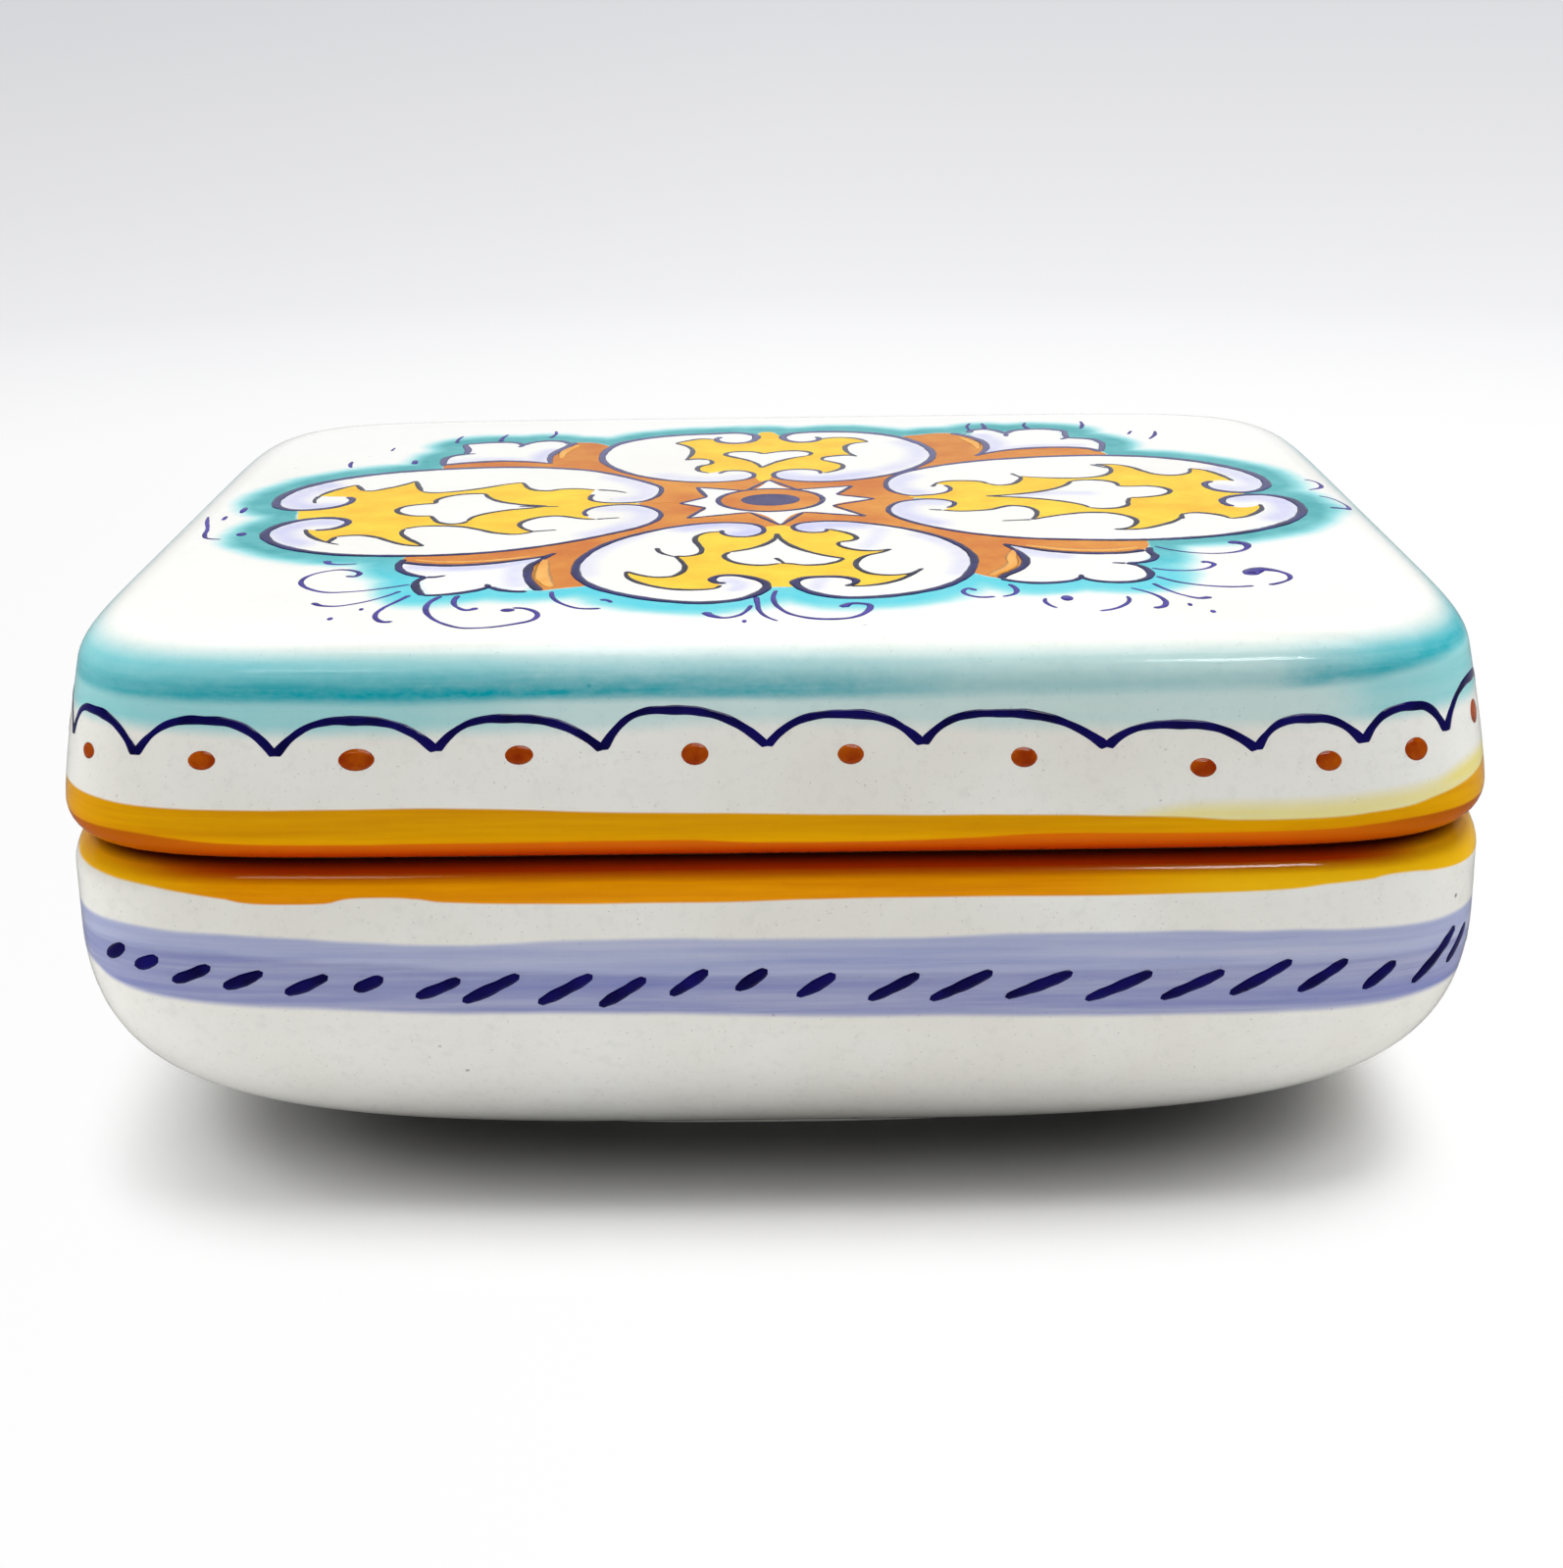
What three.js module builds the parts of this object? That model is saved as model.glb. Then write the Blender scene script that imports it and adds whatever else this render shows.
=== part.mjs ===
// A glazed earthenware trinket box in two pieces: a footed base and a lift-off lid.
// Millimetres, +Z up. The origin is on the table under the middle of the box, +X along its length.
//
// Both pieces are shells with bowed sides. Each is described once, as a section that runs from the
// middle of one face, round the wall and its rims, to the middle of the other face. A point of the
// section is an inset from the lid's widest line and a height, and it becomes one closed ring.

import * as THREE from "three";

// Plan of the box at the lid's widest line
const boxLength = 150;
const boxWidth = 130;
const planFullness = 8.5; // exponent of the plan outline: 2 gives an oval, more gives squarer corners
const planSteps = 48; // points round a ring, a multiple of four

// Base
const footInset = 21.5; // from the widest line in to the outside of the foot ring
const footLand = 4; // width of the foot ring where it stands
const footEdge = 0.5; // rounding of the foot ring's outer edge
const footHollow = 1.1; // depth of the hollow inside the foot ring
const bellyInset = 0.2; // the base's widest line lies just inside the lid's
const bellyHeight = 29; // height of that line
const bellyReach = 26; // how far the belly curls in under the box
const bellyBottom = 1; // level at which that curl would end under the middle
const baseWall = 5.6;
const floorThickness = 5.4;
const rimInset = 0.25; // the rim's outer face, almost straight above the widest line
const rimHeight = 39.25; // height of the seat that carries the lid
const rimEdge = 3.2; // rounding outside the seat
const rimWidth = 6.95; // from the rim's outer face to the mouth
const mouthEdge = 0.8; // rounding of the mouth

// Lid
const seatGap = 0.3; // between the lid's underside and the base's seat
const lidHeight = 21.85; // from the lid's underside to its top
const lipEdge = 3.5; // the lid's lower edge rounds in this far
const lipRise = 3.7; // height of the lid's widest line above its underside
const wallLean = 3.1; // the wall leans in this much by the top
const leanBow = 1.25; // more than 1 keeps the foot of the wall upright
const shoulderReach = 5; // the shoulder rounds over this far inwards
const shoulderDrop = 4; // and begins this far below the top
const lidWall = 6.2;
const topThickness = 5.4;
const ceilingEdge = 4; // hollow corner between the lid's wall and its ceiling
const collarClearance = 0.9; // between the collar and the mouth, all round
const collarWidth = 3.2;
const collarDrop = 4; // the collar hangs this far below the lid's underside
const collarEdge = 1.2; // rounding of the collar's lower edge
const collarRoot = 6; // the collar's inner face blends into the wall over this height

// Levels and insets that follow from the sizes above
const mouthInset = rimInset + rimWidth;
const seatHeight = rimHeight + seatGap;
const lipHeight = seatHeight + lipRise;
const topHeight = seatHeight + lidHeight;
const ceilingHeight = topHeight - topThickness;
const collarOuter = mouthInset + collarClearance;
const collarInner = collarOuter + collarWidth;
const collarBottom = seatHeight - collarDrop;

const glaze = new THREE.MeshStandardMaterial({ color: 0xf1efe9, roughness: 0.14, metalness: 0 });

// A point of a section: its inset from the widest line, and its height
function at(inset, height) {
  return new THREE.Vector2(inset, height);
}

// A quarter of an ellipse between two points of a section. It leaves the first point
// up or down the wall if upright is true, and across the wall if it is false.
function quarter(from, to, upright, steps) {
  return Array.from({ length: steps + 1 }, (_, i) => {
    const turn = (Math.PI / 2) * (i / steps);
    const along = Math.sin(turn);
    const across = 1 - Math.cos(turn);
    return at(
      THREE.MathUtils.lerp(from.x, to.x, upright ? across : along),
      THREE.MathUtils.lerp(from.y, to.y, upright ? along : across),
    );
  });
}

// A gentle double bend between two upright stretches of a section
function blend(from, to, steps) {
  return Array.from({ length: steps + 1 }, (_, i) => {
    const share = i / steps;
    return at(
      THREE.MathUtils.lerp(from.x, to.x, THREE.MathUtils.smoothstep(share, 0, 1)),
      THREE.MathUtils.lerp(from.y, to.y, share),
    );
  });
}

// How far the lid's wall has leaned in at a height
function leanAt(height) {
  const share = (height - lipHeight) / (topHeight - lipHeight);
  return wallLean * Math.pow(Math.max(share, 0), leanBow);
}

// The foot ring, from the hollow under the floor out to the belly
function footSection() {
  const footInner = footInset + footLand;
  return [
    ...quarter(at(footInner + footHollow, footHollow), at(footInner, 0), false, 3),
    ...quarter(at(footInset + footEdge, 0), at(footInset, footEdge), false, 3),
  ];
}

// The belly, from the foot ring up to the widest line, as part of one long ellipse
function bellySection(steps) {
  const start = Math.acos(1 - (footInset - bellyInset) / bellyReach);
  return Array.from({ length: steps + 1 }, (_, i) => {
    const turn = start * (1 - i / steps);
    return at(
      bellyInset + bellyReach * (1 - Math.cos(turn)),
      bellyHeight - (bellyHeight - bellyBottom) * Math.sin(turn),
    );
  });
}

// The base's rim: its outer round, the flat seat and the mouth
function rimSection() {
  return [
    ...blend(at(bellyInset, bellyHeight), at(rimInset, rimHeight - rimEdge), 4),
    ...quarter(at(rimInset, rimHeight - rimEdge), at(rimInset + rimEdge, rimHeight), true, 5),
    ...quarter(at(mouthInset - mouthEdge, rimHeight), at(mouthInset, rimHeight - mouthEdge), false, 3),
  ];
}

// The inside of the base, from the mouth down to the floor
function insideSection() {
  const wallInset = bellyInset + baseWall;
  const floorHeight = footHollow + floorThickness;
  const floorInset = footInset + footLand + footHollow;
  return [
    ...blend(at(mouthInset, collarBottom), at(wallInset, bellyHeight), 4),
    ...quarter(at(wallInset, bellyHeight), at(floorInset, floorHeight), true, 11),
  ];
}

// The inside of the lid, from the ceiling down to the collar's root
function ceilingSection() {
  const edgeHeight = ceilingHeight - ceilingEdge;
  const edgeInset = lidWall + leanAt(edgeHeight);
  const rootHeight = seatHeight + collarRoot;
  return [
    ...quarter(at(edgeInset + ceilingEdge, ceilingHeight), at(edgeInset, edgeHeight), false, 5),
    ...blend(at(lidWall + leanAt(rootHeight), rootHeight), at(collarInner, seatHeight), 7),
  ];
}

// The collar that drops into the mouth and keeps the lid from sliding off
function collarSection() {
  return [
    ...quarter(at(collarInner, collarBottom + collarEdge), at(collarInner - collarEdge, collarBottom), true, 3),
    ...quarter(at(collarOuter + collarEdge, collarBottom), at(collarOuter, collarBottom + collarEdge), false, 3),
    at(collarOuter, seatHeight),
  ];
}

// The lid's lower edge, its leaning wall and the round shoulder under the flat top
function lidWallSection() {
  const shoulderHeight = topHeight - shoulderDrop;
  const wall = blend(at(0, lipHeight), at(0, shoulderHeight), 6);
  const shoulder = quarter(at(0, shoulderHeight), at(shoulderReach, topHeight), true, 7);
  return [
    ...quarter(at(lipEdge, seatHeight), at(0, lipHeight), false, 5),
    ...[...wall, ...shoulder].map((p) => at(p.x + leanAt(p.y), p.y)),
  ];
}

// A section without the points that repeat where two of its stretches meet
function joined(...stretches) {
  return stretches.flat().filter((p, i, all) => i === 0 || p.distanceTo(all[i - 1]) > 0.01);
}

// The plan outline with half sides of 1. Its points crowd at the corners, where it turns.
function planOutline() {
  const power = (value) => Math.sign(value) * Math.pow(Math.abs(value), 2 / planFullness);
  return Array.from({ length: planSteps }, (_, i) => {
    const turn = (2 * Math.PI * i) / planSteps;
    const onAxis = i % (planSteps / 4) === 0; // rounds off the zero of a sine or cosine
    return onAxis
      ? at(Math.round(Math.cos(turn)), Math.round(Math.sin(turn)))
      : at(power(Math.cos(turn)), power(Math.sin(turn)));
  });
}

// Skins a section: one ring for each of its points, and a fan to close each end
function shell(section) {
  const plan = planOutline();
  const positions = [];
  const faces = [];
  for (const point of section) {
    for (const p of plan) {
      positions.push(p.x * (boxLength / 2 - point.x), p.y * (boxWidth / 2 - point.x), point.y);
    }
  }
  const firstCentre = positions.length / 3;
  const lastCentre = firstCentre + 1;
  positions.push(0, 0, section[0].y, 0, 0, section.at(-1).y);
  const lastRing = (section.length - 1) * planSteps;
  for (let i = 0; i < planSteps; i++) {
    const next = (i + 1) % planSteps;
    for (let ring = 0; ring < lastRing; ring += planSteps) {
      const above = ring + planSteps;
      faces.push(ring + i, ring + next, above + next, ring + i, above + next, above + i);
    }
    faces.push(firstCentre, next, i, lastCentre, lastRing + i, lastRing + next);
  }
  const geometry = new THREE.BufferGeometry();
  geometry.setAttribute("position", new THREE.Float32BufferAttribute(positions, 3));
  geometry.setIndex(faces);
  geometry.computeVertexNormals();
  return geometry;
}

function piece(name, geometry) {
  const mesh = new THREE.Mesh(geometry, glaze);
  mesh.name = name;
  return mesh;
}

const trinketBox = new THREE.Group();
trinketBox.name = "trinket_box";
trinketBox.add(
  piece("base", shell(joined(footSection(), bellySection(16), rimSection(), insideSection()))),
  piece("lid", shell(joined(ceilingSection(), collarSection(), lidWallSection()))),
);

export default trinketBox;
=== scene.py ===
import math
import random

import bpy
import numpy as np
from mathutils import Matrix, Vector
from mathutils.geometry import convex_hull_2d


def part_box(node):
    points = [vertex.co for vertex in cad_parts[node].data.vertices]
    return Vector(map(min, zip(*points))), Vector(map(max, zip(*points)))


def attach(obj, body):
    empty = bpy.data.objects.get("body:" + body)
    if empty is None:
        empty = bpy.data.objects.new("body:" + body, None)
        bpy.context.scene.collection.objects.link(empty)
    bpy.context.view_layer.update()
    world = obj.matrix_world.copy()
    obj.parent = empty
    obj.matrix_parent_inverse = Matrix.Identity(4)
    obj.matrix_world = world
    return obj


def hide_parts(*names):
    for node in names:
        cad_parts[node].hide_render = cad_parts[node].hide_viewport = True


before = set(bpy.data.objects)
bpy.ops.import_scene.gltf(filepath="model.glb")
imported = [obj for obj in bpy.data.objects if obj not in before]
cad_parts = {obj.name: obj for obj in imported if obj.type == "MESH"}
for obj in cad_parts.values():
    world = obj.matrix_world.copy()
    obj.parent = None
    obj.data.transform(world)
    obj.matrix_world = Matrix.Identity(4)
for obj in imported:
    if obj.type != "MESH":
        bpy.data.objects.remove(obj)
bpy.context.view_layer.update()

# A trinket box of tin-glazed earthenware: a base and a lift-off lid, painted by brush with a
# traditional rosette. Sizes are in millimetres until a mesh is made; +Z is up, the front is -Y.
mm = 0.001
lidLow, lidHigh = (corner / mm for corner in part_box("lid"))
baseLow, baseHigh = (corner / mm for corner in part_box("base"))

plan = {
    "halfLength": lidHigh.x,  # at the lid's widest line
    "halfWidth": lidHigh.y,
    "fullness": 8.5,  # exponent of the plan outline, as in the CAD model
    "pointsRound": 420,
}

baseSizes = {
    "footInset": 21.5,
    "footFullness": 3,  # the exponent of the plan at the foot, whose corners are rounder
    "footLand": 4,
    "footEdge": 0.5,
    "footHollow": 1.1,
    "bellyInset": 0.2,
    "bellyHeight": 29,
    "bellyReach": 26,
    "bellyBottom": 1,
    "wall": 5.6,
    "floor": 5.4,
    "rimInset": 0.25,
    "rimHeight": baseHigh.z,
    "rimEdge": 3.2,
    "rimWidth": 6.95,
    "mouthEdge": 0.8,
    "glazeReach": 0.6,  # the glaze ends this far in on the seat, and bare clay follows
    "floorRings": 14,
}

lidSizes = {
    "seatGap": 0.3,
    "top": lidHigh.z - 0.04,  # leaves room for the paint on it
    "lipEdge": 3.5,
    "lipRise": 3.7,
    "wallLean": 3.1,
    "leanBow": 1.25,
    "shoulderReach": 5,
    "shoulderDrop": 4,
    "wall": 6.2,
    "topThickness": 5.4,
    "ceilingEdge": 4,
    "collarClearance": 0.9,
    "collarWidth": 3.2,
    "collarEdge": 1.2,
    "collarRoot": 6,
    "topRings": 62,
}


def quarter(start, end, upright, steps):
    # A quarter of an ellipse between two points of a section, each an inset and a height
    turn = np.linspace(0, math.pi / 2, steps + 1)
    along, across = np.sin(turn), 1 - np.cos(turn)
    if upright:
        along, across = across, along
    return [
        (start[0] + (end[0] - start[0]) * a, start[1] + (end[1] - start[1]) * b)
        for a, b in zip(along, across)
    ]


def easedLine(start, end, steps):
    # A gentle double bend between two upright stretches of a section
    return [
        (
            start[0] + (end[0] - start[0]) * share * share * (3 - 2 * share),
            start[1] + (end[1] - start[1]) * share,
        )
        for share in np.linspace(0, 1, steps + 1)
    ]


def joined(*stretches):
    section = [stretches[0][0]]
    for stretch in stretches:
        section += [p for p in stretch if math.dist(p, section[-1]) > 0.01]
    return section


def planOutline():
    # The outline with half sides of 1, from the middle of the front, evenly spread on the lid's
    # widest line; and the distance gone round that line, in millimetres
    power = plan["fullness"]
    turn = np.linspace(-math.pi / 2, 1.5 * math.pi, 24001)
    reach = (np.abs(np.cos(turn)) ** power + np.abs(np.sin(turn)) ** power) ** (-1 / power)
    x, y = reach * np.cos(turn), reach * np.sin(turn)
    step = np.hypot(np.diff(x * plan["halfLength"]), np.diff(y * plan["halfWidth"]))
    return x, y, np.concatenate(([0], np.cumsum(step)))


outlineX, outlineY, outlineLength = planOutline()
girth = outlineLength[-1]


def outlineAt(along):
    along = np.mod(along, girth)
    return np.interp(along, outlineLength, outlineX), np.interp(along, outlineLength, outlineY)


def insetOf(x, y):
    # How far inside the widest line the ring through a point lies
    low = np.zeros_like(x)
    high = np.full_like(x, min(plan["halfLength"], plan["halfWidth"]) - 0.01)
    for _ in range(40):
        middle = (low + high) / 2
        outside = (
            (np.abs(x) / (plan["halfLength"] - middle)) ** plan["fullness"]
            + (np.abs(y) / (plan["halfWidth"] - middle)) ** plan["fullness"]
        ) > 1
        low, high = np.where(outside, low, middle), np.where(outside, middle, high)
    return low


def baseSection():
    s = baseSizes
    footInner = s["footInset"] + s["footLand"]
    start = math.acos(1 - (s["footInset"] - s["bellyInset"]) / s["bellyReach"])
    belly = [
        (
            s["bellyInset"] + s["bellyReach"] * (1 - math.cos(turn)),
            s["bellyHeight"] - (s["bellyHeight"] - s["bellyBottom"]) * math.sin(turn),
        )
        for turn in np.linspace(start, 0, 37)
    ]
    outside = joined(
        [(s["footInset"], s["footEdge"])],
        belly,
        easedLine((s["bellyInset"], s["bellyHeight"]), (s["rimInset"], s["rimHeight"] - s["rimEdge"]), 10),
        quarter(
            (s["rimInset"], s["rimHeight"] - s["rimEdge"]),
            (s["rimInset"] + s["rimEdge"], s["rimHeight"]), True, 10),
    )
    mouth = s["rimInset"] + s["rimWidth"]
    innerWall = s["bellyInset"] + s["wall"]
    inside = joined(
        [(s["rimInset"] + s["rimEdge"] + s["glazeReach"], s["rimHeight"])],
        quarter((mouth - s["mouthEdge"], s["rimHeight"]), (mouth, s["rimHeight"] - s["mouthEdge"]), False, 5),
        easedLine((mouth, s["rimHeight"] - 3.7), (innerWall, s["bellyHeight"]), 8),
        quarter(
            (innerWall, s["bellyHeight"]),
            (footInner + s["footHollow"], s["footHollow"] + s["floor"]), True, 26),
    )
    foot = joined(
        quarter((footInner + s["footHollow"], s["footHollow"]), (footInner, 0), False, 5),
        quarter((s["footInset"] + s["footEdge"], 0), (s["footInset"], s["footEdge"]), False, 4),
    )
    return foot, outside, inside


def leanAt(height, lipHeight):
    share = max(height - lipHeight, 0) / (lidHigh.z - lipHeight)
    return lidSizes["wallLean"] * share ** lidSizes["leanBow"]


def lidSection():
    s = lidSizes
    seat = baseSizes["rimHeight"] + s["seatGap"]
    lip = seat + s["lipRise"]
    shoulder = lidHigh.z - s["shoulderDrop"]
    ceiling = lidHigh.z - s["topThickness"]
    edge = s["wall"] + leanAt(ceiling - s["ceilingEdge"], lip)
    root = seat + s["collarRoot"]
    collarOuter = baseSizes["rimInset"] + baseSizes["rimWidth"] + s["collarClearance"]
    collarInner = collarOuter + s["collarWidth"]
    bottom = lidLow.z
    inside = joined(
        quarter((edge + s["ceilingEdge"], ceiling), (edge, ceiling - s["ceilingEdge"]), False, 9),
        easedLine((s["wall"] + leanAt(root, lip), root), (collarInner, seat), 12),
        quarter((collarInner, bottom + s["collarEdge"]), (collarInner - s["collarEdge"], bottom), True, 5),
        quarter((collarOuter + s["collarEdge"], bottom), (collarOuter, bottom + s["collarEdge"]), False, 5),
        [(collarOuter, seat), (s["lipEdge"] + baseSizes["glazeReach"], seat)],
    )
    wall = easedLine((0, lip), (0, shoulder), 24)
    turnOver = quarter((0, shoulder), (s["shoulderReach"], s["top"]), True, 22)
    outside = joined(
        quarter((s["lipEdge"], seat), (0, lip), False, 12),
        [(inset + leanAt(height, lip), height) for inset, height in wall + turnOver],
    )
    return inside, outside


def ringsOf(section):
    return [(plan["halfLength"] - inset, plan["halfWidth"] - inset, height) for inset, height in section]


def ringsToMiddle(last, count):
    # A flat face carried on towards its middle in rings that all have the outline's shape
    length, width, height = last
    return [(length * share, width * share, height) for share in np.linspace(1, 0, count + 1)[1:-1]]


def setAttribute(piece, name, values):
    piece.data.attributes.new(name, "FLOAT", "POINT").data.foreach_set("value", values.astype(np.float32))


def vertexPlaces(piece):
    places = np.empty(len(piece.data.vertices) * 3)
    piece.data.vertices.foreach_get("co", places)
    return (places / mm).reshape(-1, 3)


def deselectAll():
    if bpy.context.object and bpy.context.object.mode != "OBJECT":
        bpy.ops.object.mode_set(mode="OBJECT")
    bpy.ops.object.select_all(action="DESELECT")


def throwShell(name, rings):
    # A disc with the plan outline, drawn up ring by ring like a pot on the wheel
    deselectAll()
    count = plan["pointsRound"]
    bpy.ops.mesh.primitive_circle_add(vertices=count, radius=1, fill_type="TRIFAN")
    shell = bpy.context.object
    shell.name = name
    shell.data.name = name
    length, width, height = rings[0]
    x, y = outlineAt(np.arange(count) * girth / count)
    ring = 0
    for vertex in shell.data.vertices:
        if vertex.co.length < 0.5:
            vertex.co = (0, 0, height * mm)
        else:
            vertex.co = (x[ring] * length * mm, y[ring] * width * mm, height * mm)
            ring += 1
    bpy.ops.object.mode_set(mode="EDIT")
    bpy.ops.mesh.select_all(action="SELECT")
    for before, after in zip(rings, rings[1:]):
        bpy.ops.mesh.extrude_region_move(
            TRANSFORM_OT_translate={"value": (0, 0, (after[2] - before[2]) * mm)})
        bpy.ops.transform.resize(
            value=(after[0] / before[0], after[1] / before[1], 1),
            center_override=(0, 0, after[2] * mm))
    bpy.ops.mesh.select_all(action="SELECT")
    bpy.ops.mesh.normals_make_consistent(inside=False)
    bpy.ops.object.mode_set(mode="OBJECT")
    bpy.ops.object.shade_smooth_by_angle(angle=math.radians(50))
    return shell


# Each stroke of the brush is a line of points in a flat (u, v) place, in millimetres, with the
# brush's half width at each point. A piece's strokes are swept as one curve, pressed almost flat
# and laid on the glaze.

brush = {
    "step": 0.3,  # distance between the points of a stroke
    "height": 0.05,  # how far the paint stands up, as a share of its half width
    "most": 0.02,  # and at most
    "unsteady": 0.07,  # how much the width wavers
}
hand = random.Random(7)


def through(points, step=None):
    # A smooth line through the points
    step = step or brush["step"]
    points = np.array(points, float)
    gap = np.maximum(np.hypot(*np.diff(points, axis=0).T), 1e-6)
    at = np.concatenate(([0], np.cumsum(gap)))
    where = np.linspace(0, at[-1], max(2, math.ceil(at[-1] / step) + 1))
    slope = np.diff(points, axis=0) / gap[:, None]
    if len(points) == 2:
        return points[0] + slope * where[:, None]
    bend = (slope[:-1] * gap[1:, None] + slope[1:] * gap[:-1, None]) / (gap[:-1] + gap[1:])[:, None]
    bend = np.vstack((1.5 * slope[0] - 0.5 * bend[0], bend, 1.5 * slope[-1] - 0.5 * bend[-1]))
    i = np.clip(np.searchsorted(at, where, "right") - 1, 0, len(gap) - 1)
    s = ((where - at[i]) / gap[i])[:, None]
    h = gap[i][:, None]
    return (
        (2 * s**3 - 3 * s**2 + 1) * points[i] + (s**3 - 2 * s**2 + s) * h * bend[i]
        + (3 * s**2 - 2 * s**3) * points[i + 1] + (s**3 - s**2) * h * bend[i + 1]
    )


def stroke(points, *widths):
    # A stroke through points, its width spread evenly along it, with round ends
    line = through(points)
    gone = np.concatenate(([0], np.cumsum(np.hypot(*np.diff(line, axis=0).T))))
    share = gone / gone[-1]
    radius = np.interp(share, np.linspace(0, 1, len(widths)), widths) / 2
    phase = hand.uniform(0, 6)
    radius *= 1 + brush["unsteady"] * (np.sin(gone * 0.9 + phase) + 0.6 * np.sin(gone * 2.3 + 2 * phase))
    toEnd = np.minimum(gone, gone[-1] - gone)
    end = np.minimum(radius, gone[-1] / 2)
    radius *= np.sqrt(np.clip(1 - (1 - np.minimum(toEnd / end, 1)) ** 2, 0.01, 1))
    return line, radius


def dab(u, v, halfWidth, halfHeight=None, turn=0.0):
    # One touch of the brush
    halfHeight = halfHeight or halfWidth
    t = -np.cos(np.linspace(0, math.pi, 11))
    line = np.stack((u + t * halfWidth * math.cos(turn), v + t * halfWidth * math.sin(turn)), 1)
    return line, halfHeight * np.sqrt(np.clip(1 - t**2, 0.02, 1))


def flatCurve(name):
    deselectAll()
    curve = bpy.data.curves.new(name, "CURVE")
    curve.dimensions = "2D"
    piece = bpy.data.objects.new(name, curve)
    bpy.context.collection.objects.link(piece)
    bpy.context.view_layer.objects.active = piece
    piece.select_set(True)
    return piece


def addSpline(curve, line, radius=None):
    spline = curve.splines.new("POLY")
    spline.points.add(len(line) - 1)
    flat = np.zeros((len(line), 4))
    flat[:, :2] = line * mm
    flat[:, 3] = 1
    spline.points.foreach_set("co", flat.ravel())
    if radius is not None:
        spline.points.foreach_set("radius", radius)
    return spline


def layOn(piece, surface, lift, squash=1.0):
    # Moves a flat mesh onto the glaze: u and v become a place on it, and what was z stands up from it
    bpy.ops.object.convert(target="MESH")
    flat = vertexPlaces(piece)
    raised = np.clip(flat[:, 2] * squash, -brush["most"], brush["most"])
    placed = surface(flat[:, 0], flat[:, 1], raised + lift)
    piece.data.vertices.foreach_set("co", (placed * mm).ravel())
    bpy.ops.object.mode_set(mode="EDIT")
    bpy.ops.mesh.select_all(action="SELECT")
    bpy.ops.mesh.remove_doubles(threshold=1e-7)
    bpy.ops.mesh.normals_make_consistent(inside=False)
    bpy.ops.object.mode_set(mode="OBJECT")


def finishPiece(piece, body, material):
    piece.data.materials.clear()
    piece.data.materials.append(material)
    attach(piece, body)
    print(piece.name + ":", len(piece.data.polygons), "faces")


def paintStrokes(name, strokes, surface, lift, body, material):
    piece = flatCurve(name)
    piece.data.bevel_depth = mm
    piece.data.bevel_resolution = 1
    piece.data.use_fill_caps = True
    for line, radius in strokes:
        addSpline(piece.data, line, radius)
    layOn(piece, surface, lift, brush["height"])
    bpy.ops.object.shade_smooth()
    finishPiece(piece, body, material)
    return piece


def paintAreas(name, outlines, surface, lift, body, material):
    # Flat fills; an outline inside another is left bare
    piece = flatCurve(name)
    piece.data.fill_mode = "BOTH"
    piece.data.extrude = 0.004 * mm
    for outline in outlines:
        addSpline(piece.data, outline).use_cyclic_u = True
    layOn(piece, surface, lift)
    finishPiece(piece, body, material)
    return piece


def chain(runs):
    # Runs of points that follow one another; each starts where the one before it ends
    whole = [runs[0]]
    for run in runs[1:]:
        whole.append([whole[-1][-1]] + run)
    return whole


def outlineOf(*runs):
    # A closed outline from runs of points that meet end to end
    lines = [through(run) for run in runs]
    return np.vstack([line[:-1] for line in lines] + [lines[-1][-1:]])


def paint(red, green, blue):
    # A colour read on a screen, as the plain share of light that it throws back
    return tuple(
        (c / 255 / 12.92 if c <= 10 else ((c / 255 + 0.055) / 1.055) ** 2.4) for c in (red, green, blue)
    ) + (1,)


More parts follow.
